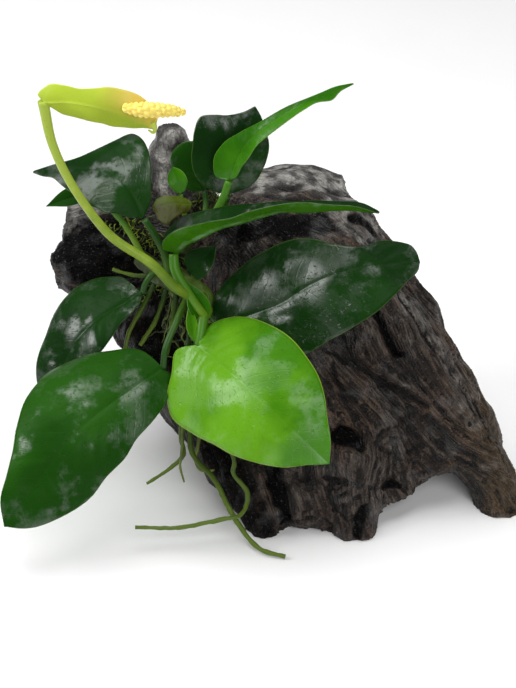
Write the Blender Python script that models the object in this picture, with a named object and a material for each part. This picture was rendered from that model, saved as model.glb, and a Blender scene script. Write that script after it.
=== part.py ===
"""An anubias plant growing on a piece of driftwood, as solids at their real size.

Blender's unit here is the metre, with +Z up. Every size and place below is in millimetres, in a frame
whose X runs to the right, Y away from the front and Z up from the surface that the wood stands on.
MIDDLE moves that frame so that its origin lies under the middle of the whole part.
"""

import math

import bmesh
import bpy
import numpy as np
from mathutils import Matrix, Vector, noise

MM = 0.001
GAP = 0.4
SAME_POINT = 0.01
RIM_SWELL = 0.8
MIDDLE = Vector((-4.3, -4.8, 0.0))

BLADE_THICKNESS = 0.7
BLADE_ROWS = 10
HALF_COLUMNS = 2
SMALL_BLADE_ROWS = 6
RIB_STEPS = 12
RIB_BUNCHING = 1.3
EDGE_STEPS = 6
OVAL_LEAN = 0.8
SHARP_ANGLE = 60.0

STALK_BEVEL = 2
ROOT_BEVEL = 1
LIMB_BEVEL = 6
ROD_STEPS = 2
LIMB_STEPS = 3

WOOD_VOXEL = 2.6
WOOD_SMOOTHING = 6
WOOD_FACES_KEPT = 0.154
WOOD_ROUGHNESS = 1.0
WOOD_LUMP_SIZE = 14.0
LUMP_OCTAVES = 3
FORK_REACH = 80.0
GROUND_DEPTH = 60.0
FAR = 400.0

# Each limb of the wood is a row of (x, y, z, radius), from the stump outwards.
WOOD_LIMBS = {
    "right_root": (
        (5, 36, 86, 20), (32, 22, 69, 20), (56, 8, 46, 17), (75, -6, 26, 13), (88, -18, 9, 9),
        (94, -24, -6, 8),
    ),
    "right_edge": ((28, 44, 86, 14), (48, 32, 64, 14), (65, 16, 43, 12), (80, 0, 26, 9), (89, -12, 12, 7)),
    "middle_root": (
        (10, 34, 80, 18), (34, 16, 58, 18), (50, 2, 38, 15), (61, -10, 24, 9), (68, -20, 15, 7),
    ),
    "front_right_root": ((30, 16, 60, 16), (42, 0, 38, 15), (47, -14, 20, 11), (51, -26, 6, 8)),
    "front_root": (
        (4, 34, 82, 18), (19, 14, 58, 18), (30, -6, 32, 15), (35, -24, 14, 11), (36, -34, 2, 9),
        (36, -36, -8, 8),
    ),
    "front_skirt": ((14, 12, 54, 16), (20, -10, 28, 13), (22, -26, 11, 10), (22, -35, 3, 8)),
    "front_left_root": (
        (-6, 34, 76, 14), (2, 14, 52, 15), (8, -10, 28, 13), (11, -26, 12, 9), (12, -35, 3, 7),
    ),
    "left_root": (
        (-14, 32, 74, 12), (-8, 12, 50, 13), (-2, -10, 27, 11), (1, -28, 11, 8), (2, -36, 2, 6),
        (2, -37, -8, 5),
    ),
    "left_rim": ((-62, 44, 68, 9), (-46, 24, 50, 9), (-32, 4, 34, 8), (-16, -14, 19, 7), (-3, -30, 8, 6)),
    "left_wall": (
        (-44, 42, 64, 12), (-28, 22, 48, 12), (-16, 6, 36, 11), (-4, -14, 22, 9), (2, -28, 10, 7),
    ),
    "seat": ((0, 32, 68, 18), (-18, 20, 62, 15), (-32, 20, 66, 11)),
    "hump": ((-8, 54, 84, 15), (14, 56, 87, 16), (32.5, 54, 85, 15)),
    "brow": ((-4, 38, 86, 14), (18, 36, 88, 14), (36, 38, 84, 13)),
    "top": ((-10, 44, 80, 15), (14, 46, 82, 16), (34, 44, 78, 15)),
    "spur": ((-22, 46, 76, 14), (-29, 47, 96, 12), (-33, 49.5, 111, 9.5), (-32, 48, 126, 5)),
    "left_lobe": ((-20, 44, 74, 14), (-46, 46, 83, 14), (-64, 48, 87, 12.5), (-73, 48, 88, 9)),
    "left_lobe_low": ((-24, 42, 60, 12), (-46, 40, 66, 12), (-68, 37, 71, 11.5), (-79, 36, 70, 7)),
    "core": ((-2, 38, 70, 24), (8, 42, 44, 23), (12, 49, 20, 17), (8, 57, -8, 12)),
    "core_middle": ((16, 40, 60, 22), (24, 37, 36, 19), (32, 35, 14, 14), (34, 32, -8, 11)),
    "core_right": ((20, 38, 64, 22), (42, 39, 42, 18), (57, 43, 18, 12), (66, 50, -8, 8)),
    "core_left": ((-16, 38, 66, 18), (-20, 38, 40, 16), (-25, 43, 16, 11), (-34, 49, -8, 8)),
}

# Where the wood forks: the piece beyond the cut, a point on the cut, the way that the piece leaves, and
# how wide the cut reaches.
WOOD_FORKS = (
    ("driftwood_right_root", (74, -3, 28), (0.68, -0.45, -0.58), 56),
    ("driftwood_left_limb", (-42, 40, 70), (-1.0, 0.0, 0.0), 80),
    ("driftwood_spur", (-31, 46, 101), (-0.2, 0.0, 1.0), 34),
)

# The creeping stem and its branch: rows of (x, y, z, radius).
RHIZOMES = {
    "rhizome": (
        (-44, 22, 84, 3.2), (-36, 14, 82, 4.0), (-27, 9, 80, 4.3), (-20.5, 6, 77.5, 3.8), (-18.5, 4, 73, 2.6),
    ),
    "rhizome_branch": ((-29, 18, 88, 3.2), (-26, 24, 94, 3.8), (-19, 27, 98, 3.4), (-13, 26, 100, 2.4)),
}

# Each blade: the points of its rib from the notch to the tip, the side that its top faces at either end,
# the lift of its left and right halves in degrees, and how much they curl at the reach of curl_at, which is
# below nought where the edge bends down. left and right are the outlines of its halves, as distances along
# the rib and across from it. A blade without them is an oval of a given width.
BLADES = {
    "leaf_front_light": {
        "rib": ((-22, -15, 70), (0, -42, 67), (25, -56, 48)),
        "faces": ((-0.32, -0.65, 0.68), (-0.2, -0.75, 0.6)),
        "lift": (4, 4), "curl": (-16, -16), "curl_at": 26.5,
        "left": (
            (-2, 7.5), (2, 15), (9.5, 20), (19.5, 22), (29, 23), (37.5, 22), (45, 20), (52, 16), (58, 11),
            (64.5, 6),
        ),
        "right": (
            (-6, 6.5), (-1.5, 14), (1, 22), (7, 27.5), (18.5, 27), (32, 23.5), (43.5, 21.5), (52, 18),
            (59, 12.5), (64, 6),
        ),
    },
    "leaf_front_left": {
        "rib": ((-35, -15, 59.5), (-63.5, -42.5, 52.5), (-90, -62, 24.5)),
        "faces": ((0.0, -0.6, 0.8), (0.25, -0.75, 0.6)),
        "lift": (4, 4), "curl": (-25, -25), "curl_at": 22.5,
        "left": (
            (-0.5, 5), (6.5, 10.5), (15, 13.5), (24.5, 15.5), (33.5, 19), (46, 19.5), (57, 20), (65.5, 17),
            (73, 12.5), (79.5, 7),
        ),
        "right": (
            (0.5, 11), (6.5, 18.5), (13.5, 24.5), (23.5, 26.5), (34.5, 26.5), (44, 24), (52.5, 19),
            (60.5, 14), (68.5, 10), (77, 6.5),
        ),
    },
    "leaf_left": {
        "rib": ((-43, 6, 79), (-66, 1.5, 63), (-81, -5.5, 35)),
        "faces": ((-0.4, -0.35, 0.83), (-0.4, -0.5, 0.7)),
        "lift": (4, 14), "curl": (-20, -12), "curl_at": 15.5,
        "left": (
            (1.5, 3.5), (6, 5.5), (11.5, 7), (16.5, 9.5), (22.5, 11), (30, 11.5), (37.5, 11), (43.5, 9.5),
            (49, 7), (54.5, 4),
        ),
        "right": (
            (4, 10), (10.5, 15), (17, 17.5), (22.5, 18.5), (27.5, 18), (32.5, 16.5), (37.5, 14.5),
            (43.5, 13), (49.5, 10.5), (55, 6.5),
        ),
    },
    "leaf_upper_left": {
        "rib": (
            (-41, 6, 111), (-44.5, 10, 117), (-49.5, 14, 122), (-56.5, 17, 124.5), (-68, 20, 122.5),
            (-81.5, 22, 120.5),
        ),
        "faces": ((0.25, -0.6, 0.75), (-0.05, -0.15, 1.0)),
        "lift": (0, 0), "curl": (-12, -12), "curl_at": 23,
        "left": (
            (1.5, 4), (4, 7), (7, 10.5), (10, 13), (22, 15), (29, 13), (33.5, 10.5), (38, 7.5), (42, 4),
            (46, 2.5),
        ),
        "right": (
            (4, 5), (9.5, 9), (14, 13.5), (17.5, 18.5), (22, 23), (24.5, 17), (28.5, 12.5), (33, 8.5),
            (38.5, 4.5), (44, 2),
        ),
    },
    "leaf_back": {
        "rib": ((-11, 24, 110), (-9, 25, 127), (-1, 30, 143)),
        "faces": ((0.15, -0.93, 0.3), (0.1, -0.85, 0.5)),
        "lift": (8, 8), "curl": (-6, -6), "curl_at": 15.5,
        "left": (
            (1.5, 4.5), (4.5, 9.5), (9, 13), (13, 14.5), (16.5, 15), (20, 16), (24, 16), (26.5, 12),
            (28.5, 7.5), (32, 3),
        ),
        "right": (
            (2, 4.5), (3.5, 7.5), (6.5, 10), (10.5, 11.5), (16.5, 12.5), (22.5, 12), (26.5, 10.5),
            (29.5, 8), (32, 5.5), (34, 3),
        ),
    },
    "leaf_back_grey": {
        "rib": ((-20, 34.5, 106), (-22.5, 35.5, 115), (-21, 38, 124.5)),
        "faces": ((-0.2, -0.9, 0.35), (-0.1, -0.85, 0.5)),
        "lift": (8, 8), "curl": (-6, -6), "curl_at": 10,
        "left": ((1, 4), (4, 7.5), (8, 9.5), (12, 10), (15.5, 8.5), (18.5, 5)),
        "right": ((1, 4), (4, 7.5), (8, 9.5), (12, 10), (15.5, 8.5), (18.5, 5)),
    },
    "leaf_upper_light": {
        "rib": ((-10, 14, 122), (-6.5, 12.5, 133), (0, 11, 142.5), (14.5, 8, 154.5), (32.5, 6, 164)),
        "faces": ((-0.6, -0.3, 0.7), (-0.5, -0.1, 0.8)),
        "lift": (30, -4), "curl": (0, 0), "curl_at": 12,
        "left": (
            (-2.5, 6), (3, 9.5), (10, 8.5), (17, 5.5), (23.5, 3.5), (30.5, 2.5), (37.5, 2), (44, 1.5),
            (50.5, 1.5), (56.5, 1.5),
        ),
        "right": (
            (4, 3.5), (9, 5), (16, 6), (21.5, 4.5), (27, 4), (33, 4), (39, 4), (44, 3.5), (49, 2.5),
            (54.5, 4), (58, 1),
        ),
    },
    "leaf_middle": {
        "rib": (
            (-29.5, -1, 101), (-24.5, -3, 106.5), (-18, -5, 111), (-10, -6.5, 115.5), (0, -8, 119.5),
            (9.5, -8, 121.5), (21.5, -7, 121.5), (31.5, -6, 121.5), (42.5, -5, 120),
        ),
        "faces": ((-0.4, 0.35, 0.85), (0.0, 0.35, 0.93)),
        "lift": (36, 36), "curl": (-6, 0), "curl_at": 17.5,
        "left": (
            (-9, 10), (-8, 18), (0, 18.5), (9, 14.5), (20.5, 11.5), (30, 8.5), (39.5, 6), (48, 5),
            (56.5, 5.5), (64.5, 4), (72.5, 3.5),
        ),
        "right": (
            (0, 6), (6, 9), (13.5, 9.5), (20, 7.5), (27.5, 6), (35.5, 7), (41.5, 6.5), (48, 5.5),
            (55.5, 4.5), (64, 3), (71.5, 2.5),
        ),
    },
    "leaf_right": {
        "rib": (
            (-14.5, -4, 71), (-3.5, -7, 77.5), (8.5, -10, 85), (19, -11, 93.5), (36, -12, 101.5),
            (57, -12, 103.5),
        ),
        "faces": ((-0.4, -0.75, 0.5), (-0.3, -0.6, 0.75)),
        "lift": (6, 6), "curl": (-16, -16), "curl_at": 20.5,
        "left": (
            (0, 7.5), (5.5, 14.5), (14, 19), (23.5, 21.5), (37.5, 20), (45.5, 16.5), (53, 11), (61, 7.5),
            (68.5, 9), (77, 7), (80, 4),
        ),
        "right": (
            (4, 7.5), (11, 12.5), (18.5, 17), (25.5, 20), (31.5, 20.5), (43, 20.5), (52.5, 19.5),
            (63.5, 17), (71, 12), (76.5, 6.5), (80, 3.5),
        ),
    },
    "leaf_old_yellow": {
        "rib": ((-24, 17, 110), (-31, 14, 112), (-38, 12, 111.5)),
        "faces": ((0.0, -0.6, 0.8), (0.0, -0.6, 0.8)),
        "lift": (6, 6), "curl": (0, 0), "curl_at": 6,
        "left": ((1, 2), (3, 3.5), (5.5, 4.5), (9.5, 6.5), (11.5, 8), (13, 7.5), (14.5, 5)),
        "right": ((1, 1.5), (4, 3), (7.5, 3), (10.5, 3.5), (13, 3), (14.5, 1.5)),
    },
    "leaf_young_green": {
        "rib": ((-28.5, 24, 110.5), (-29.5, 25, 115), (-31, 27, 120)),
        "faces": ((0.0, -0.9, 0.4), (0.0, -0.9, 0.4)),
        "lift": (20, 20), "curl": (0, 0), "curl_at": 4,
        "left": ((1, 1.5), (2.5, 2.5), (5, 3.5), (7.5, 3), (9, 2)),
        "right": ((1, 2), (2.5, 3), (4.5, 4), (7, 3.5), (9, 2)),
    },
    "leaf_young_left": {
        "rib": ((-60, 26, 109), (-69, 25, 108), (-78, 24, 105)),
        "faces": ((0.2, -0.5, 0.85), (0.2, -0.5, 0.85)),
        "lift": (20, 20), "curl": (0, 0), "curl_at": 4, "width": 8,
    },
    "leaf_inner": {
        "rib": ((-25, 8, 86), (-20, 6, 93), (-15, 8, 98)), "faces": ((-0.4, -0.8, 0.4), (-0.4, -0.8, 0.4)),
        "lift": (25, 25), "curl": (0, 0), "curl_at": 6, "width": 12,
    },
}
SMALL_BLADES = ("leaf_old_yellow", "leaf_young_green", "leaf_young_left", "leaf_inner", "leaf_back_grey")

# The bract behind the flower spike.
SPATHE = {
    "rib": (
        (-70.5, -13, 166.5), (-62, -15, 167.5), (-52, -16, 166), (-42.5, -15, 162), (-34.5, -13, 156.5),
    ),
    "faces": ((-0.1, 0.97, -0.1), (0.1, 0.97, 0.0)),
    "lift": (0, 0), "curl": (14, 30), "curl_at": 11,
    "left": (
        (2.5, 2), (5.5, 4.5), (9.5, 5.5), (13.5, 6), (17.5, 6), (21.5, 5.5), (25.5, 5.5), (29.5, 4.5),
        (33, 3.5), (36, 1.5),
    ),
    "right": (
        (-2, 3), (2.5, 6), (7.5, 5.5), (11.5, 5), (16, 6), (20, 7.5), (24.5, 8), (29, 8), (33, 7), (37.5, 5),
    ),
}

# Each stalk runs from inside the creeping stem to just under its blade: rows of (x, y, z, radius).
STALKS = {
    "stalk_front_light": (
        (-21, 3, 76, 2.6), (-20, -5, 78, 2.4), (-20.5, -11, 74, 1.8), (-21.6, -14.6, 69.4, 1.4),
    ),
    "stalk_front_left": (
        (-26, 5, 77, 1.5), (-29, -4, 75, 1.4), (-33.5, -12, 67, 1.2), (-34.6, -14.6, 59.3, 1.1),
    ),
    "stalk_left": ((-36, 14, 82, 1.5), (-38, 9, 86, 1.3), (-41, 7, 83, 1.2), (-42.6, 6.2, 78.8, 1.1)),
    "stalk_upper_left": (
        (-33, 12, 82, 1.6), (-34, 8, 94, 1.4), (-37.5, 6.5, 104, 1.3), (-40.6, 5.8, 110.2, 1.2),
    ),
    "stalk_back": ((-15, 27, 98, 1.3), (-12.5, 26.5, 104, 1.2), (-11.1, 24.3, 109.4, 1.1)),
    "stalk_back_grey": ((-20, 27, 98, 1.2), (-19.5, 32, 102, 1.1), (-19.9, 34.5, 105.6, 1.0)),
    "stalk_upper_light": (
        (-20, 26, 97, 1.6), (-16, 17, 106, 1.5), (-12.5, 13.5, 115, 1.4), (-10.4, 14, 121.4, 1.4),
    ),
    "stalk_middle": (
        (-18, 2, 74, 1.6), (-19.5, -7, 78, 1.6), (-25, -7, 87, 1.7), (-29.5, -4.5, 95, 1.8),
        (-30.2, -1.5, 100.4, 1.7),
    ),
    "stalk_right": ((-19, 4, 74, 1.5), (-16.5, -1, 72, 1.3), (-14.8, -3.6, 70.8, 1.2)),
    "stalk_young_green": ((-26, 24, 94, 1.0), (-27, 24.5, 100, 0.9), (-28.4, 24, 110, 0.8)),
    "stalk_young_left": ((-42, 20, 84, 1.2), (-50, 24, 98, 1.1), (-59.4, 26, 108.6, 0.9)),
}
# The stalks that a piece would touch on its way, so that it is cut clear of them.
CROSSED_STALKS = {
    "stalk_right": ("stalk_front_light", "stalk_middle"),
    "stalk_middle": ("stalk_front_light",),
    "flower_stalk": ("stalk_front_light", "stalk_middle", "stalk_front_left"),
}
FLOWER_STALK = (
    (-20, 5, 78, 1.9), (-22, -4, 83, 1.9), (-29.5, -9, 91, 1.8), (-38, -10, 102, 1.7), (-52, -9, 113, 1.6),
    (-63, -10, 132, 1.5), (-69, -12, 150, 1.6), (-71, -12.8, 165.6, 1.7),
)
FLOWER_SPIKE = (
    (-44.5, -21.5, 166.0, 1.6), (-41.5, -21.5, 166, 2.2), (-38, -21.5, 165.9, 2.7), (-34.5, -20.5, 165.7, 2.7),
    (-29, -18, 164.8, 2.2), (-26, -15.5, 163.8, 1.7), (-24, -14.5, 163.5, 0.9),
)

# Each root, from the creeping stem to its tip: rows of (x, y, z, radius).
ROOTS = {
    "root_long": (
        (-22, 4, 75, 1.0), (-24, -10, 46, 1.0), (-25, -20, 26, 1.0), (-16, -30, 19, 1.0), (-9, -40, 10, 1.0),
        (0, -49, 3, 0.9), (10, -52, 1.2, 0.8),
    ),
    "root_crossing": (
        (-20.5, 6, 74, 0.9), (-19.5, -2, 65, 0.9), (-15, -20, 42, 0.9), (-9, -30, 30, 0.9), (-9, -32, 24, 0.9), (-4, -36, 18, 0.9),
        (-6, -43, 14, 0.8), (-13, -46, 14, 0.8), (-29, -46, 10, 0.8), (-45, -47, 11, 0.7),
    ),
    "root_hanging": (
        (-24, 8, 77, 0.9), (-25.5, 1, 66, 0.9), (-27, -8, 50, 0.9), (-29, -15, 30, 0.8), (-28, -18, 22, 0.8), (-34, -20, 16, 0.7),
        (-42, -22, 11, 0.5),
    ),
    "root_left_upper": ((-36, 14, 81, 0.9), (-46, 13, 82, 0.8), (-54, 14, 84, 0.6)),
    "root_left_down": ((-37, 15, 81, 1.0), (-43, 10, 70, 0.9), (-48, 6, 62, 0.9), (-50, 2, 56, 0.7)),
    "root_left_inner": ((-33, 12, 80, 1.0), (-38, 6, 67, 0.9), (-44, 2, 58, 0.8)),
    "root_middle": ((-30, 9, 79, 1.0), (-32, 3, 66, 0.9), (-34, -1, 56, 0.8)),
}

COLOURS = {
    "wood": ((0.055, 0.036, 0.028, 1), 0.6),
    "leaf_dark": ((0.012, 0.075, 0.022, 1), 0.35),
    "leaf_light": ((0.16, 0.42, 0.02, 1), 0.35),
    "leaf_yellow": ((0.32, 0.30, 0.03, 1), 0.45),
    "stalk": ((0.14, 0.32, 0.03, 1), 0.4),
    "flower": ((0.62, 0.66, 0.12, 1), 0.4),
    "root": ((0.10, 0.14, 0.03, 1), 0.6),
}
LIGHT_BLADES = ("leaf_front_light", "leaf_upper_light", "leaf_young_green", "leaf_young_left")


def place(point):
    return (Vector(point) + MIDDLE) * MM


def unit(vector):
    return vector / np.linalg.norm(vector)


def material(name):
    """A material of its own for one sub-part, in its kind's colour and roughness."""
    colour, roughness = COLOURS[name]
    made = bpy.data.materials.new(name)
    made.use_nodes = True
    shader = made.node_tree.nodes["Principled BSDF"]
    shader.inputs["Base Color"].default_value = colour
    shader.inputs["Roughness"].default_value = roughness
    shader.inputs["Metallic"].default_value = 0.0
    made.diffuse_color = colour
    return made


def link(name, data, kind):
    item = bpy.data.objects.new(name, data)
    bpy.context.scene.collection.objects.link(item)
    data.materials.append(material(kind))
    return item


def smooth_path(rows, steps=5):
    """Rows along a curve that passes through the given ones, steps to each stretch between two."""
    given = np.array(rows, float)
    padded = np.vstack([2 * given[0] - given[1], given, 2 * given[-1] - given[-2]])
    path = []
    for i in range(len(given) - 1):
        a, b, c, d = padded[i : i + 4]
        for t in np.arange(steps) / steps:
            bend = 2 * b + (c - a) * t + (2 * a - 5 * b + 4 * c - d) * t**2 + (3 * b - a - 3 * c + d) * t**3
            path.append(bend / 2)
    path.append(given[-1])
    return np.array(path)


def evaluated_mesh(item):
    """A plain copy of what an object's curve or modifiers make, with its faces pointing out."""
    depsgraph = bpy.context.evaluated_depsgraph_get()
    mesh = bpy.data.meshes.new_from_object(item.evaluated_get(depsgraph), depsgraph=depsgraph)
    work = bmesh.new()
    work.from_mesh(mesh)
    bmesh.ops.remove_doubles(work, verts=work.verts, dist=SAME_POINT * MM)
    bmesh.ops.recalc_face_normals(work, faces=work.faces)
    work.to_mesh(mesh)
    work.free()
    return mesh


def drop(item):
    data = item.data
    bpy.data.objects.remove(item)
    if isinstance(data, bpy.types.Mesh):
        bpy.data.meshes.remove(data)
    else:
        bpy.data.curves.remove(data)


def rod(name, rows, bevel, kind, steps=ROD_STEPS, swell=0.0):
    """A round, capped rod of changing radius through rows of (x, y, z, radius), as a mesh object."""
    path = smooth_path(rows, steps)
    path[0, :3] += swell * unit(path[0, :3] - path[1, :3])
    path[-1, :3] += swell * unit(path[-1, :3] - path[-2, :3])
    curve = bpy.data.curves.new(name, "CURVE")
    curve.dimensions = "3D"
    curve.bevel_depth = MM
    curve.bevel_resolution = bevel
    curve.use_fill_caps = True
    curve.render_resolution_u = 0
    spline = curve.splines.new("POLY")
    spline.points.add(len(path) - 1)
    for point, (x, y, z, radius) in zip(spline.points, path):
        point.co = (*place((x, y, z)), 1)
        point.radius = radius + swell
    bent = bpy.data.objects.new(name, curve)
    bpy.context.scene.collection.objects.link(bent)
    mesh = evaluated_mesh(bent)
    drop(bent)
    mesh.materials.clear()
    mesh.shade_smooth()
    return link(name, mesh, kind)


def apply_modifiers(item):
    mesh = evaluated_mesh(item)
    item.modifiers.clear()
    old = item.data
    item.data = mesh
    bpy.data.meshes.remove(old)


def keep_largest(item):
    """Drops the small loose bits that a cut leaves, and keeps the largest one."""
    work = bmesh.new()
    work.from_mesh(item.data)
    left = set(work.verts)
    islands = []
    while left:
        island = {left.pop()}
        waiting = list(island)
        while waiting:
            for edge in waiting.pop().link_edges:
                for vert in edge.verts:
                    if vert in left:
                        left.remove(vert)
                        island.add(vert)
                        waiting.append(vert)
        islands.append(island)
    islands.sort(key=len)
    bmesh.ops.delete(work, geom=[v for island in islands[:-1] for v in island], context="VERTS")
    work.to_mesh(item.data)
    work.free()


def boolean(item, cutter, operation):
    cut = item.modifiers.new("cut", "BOOLEAN")
    cut.operation = operation
    cut.solver = "EXACT"
    cut.object = cutter
    apply_modifiers(item)


def box(name, centre, along, size):
    """A box whose own Z axis points along a direction and whose base is at a point, for cutting."""
    mesh = bpy.data.meshes.new(name)
    work = bmesh.new()
    bmesh.ops.create_cube(work, size=1.0)
    bmesh.ops.scale(work, verts=work.verts, vec=[side * MM for side in size])
    bmesh.ops.translate(work, verts=work.verts, vec=(0, 0, size[2] * MM / 2))
    turn = Vector((0, 0, 1)).rotation_difference(Vector(along)).to_matrix().to_4x4()
    bmesh.ops.transform(work, verts=work.verts, matrix=Matrix.Translation(place(centre)) @ turn)
    work.to_mesh(mesh)
    work.free()
    item = bpy.data.objects.new(name, mesh)
    bpy.context.scene.collection.objects.link(item)
    item.display_type = "WIRE"
    item.hide_render = True
    return item


class Blade:
    """The middle surface of a blade: a bent rib, and two halves that lift and curl across it."""

    def __init__(self, shape):
        self.shape = shape
        self.path = smooth_path(shape["rib"], RIB_STEPS)
        steps = np.linalg.norm(np.diff(self.path, axis=0), axis=1)
        self.travel = np.concatenate([[0.0], np.cumsum(steps)])
        self.length = self.travel[-1]
        self.edges = [smooth_path(self.outline_points(side), EDGE_STEPS) for side in ("left", "right")]
        turns = [math.radians(angle) for angle in (*shape["lift"], *shape["curl"])]
        self.lift = turns[:2]
        self.curl = turns[2:]

    def outline_points(self, side):
        """The outline of one half, from the notch to the tip."""
        half = self.shape.get("width", 0) / 2
        oval = [(self.length * t, half * math.sin(math.pi * t**OVAL_LEAN)) for t in np.linspace(0.04, 0.96, 9)]
        return [(0, 0), *self.shape.get(side, oval), (self.length, 0)]

    def frame(self, along):
        """The rib's place, its direction, the side to its right and the way up, at a length along it."""
        inside = min(max(along, 0.0), self.length)
        ahead = min(inside + 1.0, self.length)
        behind = max(inside - 1.0, 0.0)
        spot, front, back = (
            np.array([np.interp(at, self.travel, self.path[:, axis]) for axis in range(3)])
            for at in (inside, ahead, behind)
        )
        tangent = (front - back) / np.linalg.norm(front - back)
        start, end = (np.array(way, float) for way in self.shape["faces"])
        share = inside / self.length
        up = start * (1 - share) + end * share
        up -= tangent * up.dot(tangent)
        up /= np.linalg.norm(up)
        return spot + tangent * (along - inside), np.cross(tangent, up), up

    def point(self, along, across):
        """A point of the surface, across counted from the rib and above nought to the right."""
        spot, right, up = self.frame(along)
        side = 1 if across > 0 else 0
        sign = 1 if across > 0 else -1
        reach = abs(across)
        angle = self.lift[side] + self.curl[side] * reach / self.shape["curl_at"]
        return spot + right * sign * reach * math.cos(angle) + up * reach * math.sin(angle)

    def outline(self, share, side):
        """The edge of one half at a share of the way to the tip, as lengths along and across."""
        edge = self.edges[side]
        spot = share * (len(edge) - 1)
        along, across = (np.interp(spot, np.arange(len(edge)), edge[:, axis]) for axis in range(2))
        return along, max(across, 0.0)

    def grid(self, rows, columns):
        """Rows of points from edge to edge, between the notch and the tip."""
        made = []
        for i in range(1, rows):
            share = i / rows
            rib = self.length * share**RIB_BUNCHING
            row = []
            for j in range(-columns, columns + 1):
                part = j / columns
                along, across = self.outline(share, 1 if j > 0 else 0)
                row.append(self.point(rib + (along - rib) * abs(part), across * part))
            made.append(row)
        return made


def blade(name, shape, kind, rows=BLADE_ROWS, columns=HALF_COLUMNS, thickness=BLADE_THICKNESS):
    surface = Blade(shape)
    work = bmesh.new()
    notch = work.verts.new(place(surface.point(0.0, 0.0)))
    tip = work.verts.new(place(surface.point(surface.length, 0.0)))
    lines = [[work.verts.new(place(point)) for point in row] for row in surface.grid(rows, columns)]
    for near, far in zip(lines, lines[1:]):
        for j in range(2 * columns):
            work.faces.new((near[j], near[j + 1], far[j + 1], far[j]))
    for j in range(2 * columns):
        work.faces.new((notch, lines[0][j + 1], lines[0][j]))
        work.faces.new((tip, lines[-1][j], lines[-1][j + 1]))
    bmesh.ops.recalc_face_normals(work, faces=work.faces)
    mesh = bpy.data.meshes.new(name)
    work.to_mesh(mesh)
    work.free()
    item = link(name, mesh, kind)
    solid = item.modifiers.new("thickness", "SOLIDIFY")
    solid.thickness = thickness * MM
    solid.offset = 0.0
    solid.use_even_offset = False
    apply_modifiers(item)
    item.data.shade_smooth()
    item.data.set_sharp_from_angle(angle=math.radians(SHARP_ANGLE))
    return item


def make_wood():
    """The driftwood: limbs melted into one piece, stood on cut feet and split at its main forks."""
    work = bmesh.new()
    for name, rows in WOOD_LIMBS.items():
        limb = rod("limb_" + name, rows, LIMB_BEVEL, "wood", steps=LIMB_STEPS)
        work.from_mesh(limb.data)
        drop(limb)
    mesh = bpy.data.meshes.new("driftwood_trunk")
    work.to_mesh(mesh)
    work.free()
    trunk = link("driftwood_trunk", mesh, "wood")
    melt = trunk.modifiers.new("melt", "REMESH")
    melt.mode = "VOXEL"
    melt.voxel_size = WOOD_VOXEL * MM
    soften = trunk.modifiers.new("soften", "SMOOTH")
    soften.iterations = WOOD_SMOOTHING
    apply_modifiers(trunk)
    normals = [vertex.normal.copy() for vertex in trunk.data.vertices]
    for vertex, normal in zip(trunk.data.vertices, normals):
        lump = noise.fractal(vertex.co / (WOOD_LUMP_SIZE * MM), 1.0, 2.0, LUMP_OCTAVES)
        vertex.co += normal * lump * WOOD_ROUGHNESS * MM
    thin = trunk.modifiers.new("thin", "DECIMATE")
    thin.ratio = WOOD_FACES_KEPT
    apply_modifiers(trunk)
    ground = box("ground", (0, 0, -GROUND_DEPTH), (0, 0, 1), (FAR, FAR, GROUND_DEPTH))
    boolean(trunk, ground, "DIFFERENCE")
    drop(ground)
    keep_largest(trunk)
    pieces = [trunk]
    for name, spot, way, width in WOOD_FORKS:
        way = Vector(way).normalized()
        wider = width + 2 * GAP
        inner = box("inner", Vector(spot) + way * GAP / 2, way, (width, width, FORK_REACH))
        outer = box("outer", Vector(spot) - way * GAP / 2, way, (wider, wider, FORK_REACH + 2 * GAP))
        mesh = trunk.data.copy()
        mesh.materials.clear()
        piece = link(name, mesh, "wood")
        boolean(piece, inner, "INTERSECT")
        boolean(trunk, outer, "DIFFERENCE")
        drop(inner)
        drop(outer)
        keep_largest(piece)
        keep_largest(trunk)
        pieces.append(piece)
    for piece in pieces:
        piece.data.shade_smooth()
        piece.data.set_sharp_from_angle(angle=math.radians(SHARP_ANGLE))
    return pieces


def swollen_blade(shape):
    """A blade a little larger all round, for cutting its stalk short of it."""
    larger = dict(shape)
    start, second = (np.array(point, float) for point in shape["rib"][:2])
    larger["rib"] = (start + RIM_SWELL * unit(start - second), *shape["rib"][1:])
    for side in ("left", "right"):
        if side in shape:
            larger[side] = [(along, across + RIM_SWELL) for along, across in shape[side]]
    if "width" in shape:
        larger["width"] = shape["width"] + 2 * RIM_SWELL
    return blade("cutter", larger, "wood", thickness=BLADE_THICKNESS + 2 * GAP)


def swollen_rod(rows, bevel):
    return rod("cutter", rows, bevel, "wood", swell=GAP)


def carve(item, cutter):
    """Cuts a swollen neighbour out of a piece, so that they meet with a thin gap."""
    boolean(item, cutter, "DIFFERENCE")
    drop(cutter)
    keep_largest(item)


def make_leaves():
    for name, shape in BLADES.items():
        kind = "leaf_light" if name in LIGHT_BLADES else "leaf_dark"
        kind = "leaf_yellow" if name == "leaf_old_yellow" else kind
        blade(name, shape, kind, rows=SMALL_BLADE_ROWS if name in SMALL_BLADES else BLADE_ROWS)
    for name, rows in STALKS.items():
        stalk = rod(name, rows, STALK_BEVEL, "stalk")
        for stem in RHIZOMES.values():
            carve(stalk, swollen_rod(stem, STALK_BEVEL))
        carve(stalk, swollen_blade(BLADES[name.replace("stalk", "leaf")]))
        for crossed in CROSSED_STALKS.get(name, ()):
            carve(stalk, swollen_rod(STALKS[crossed], STALK_BEVEL))


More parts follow.
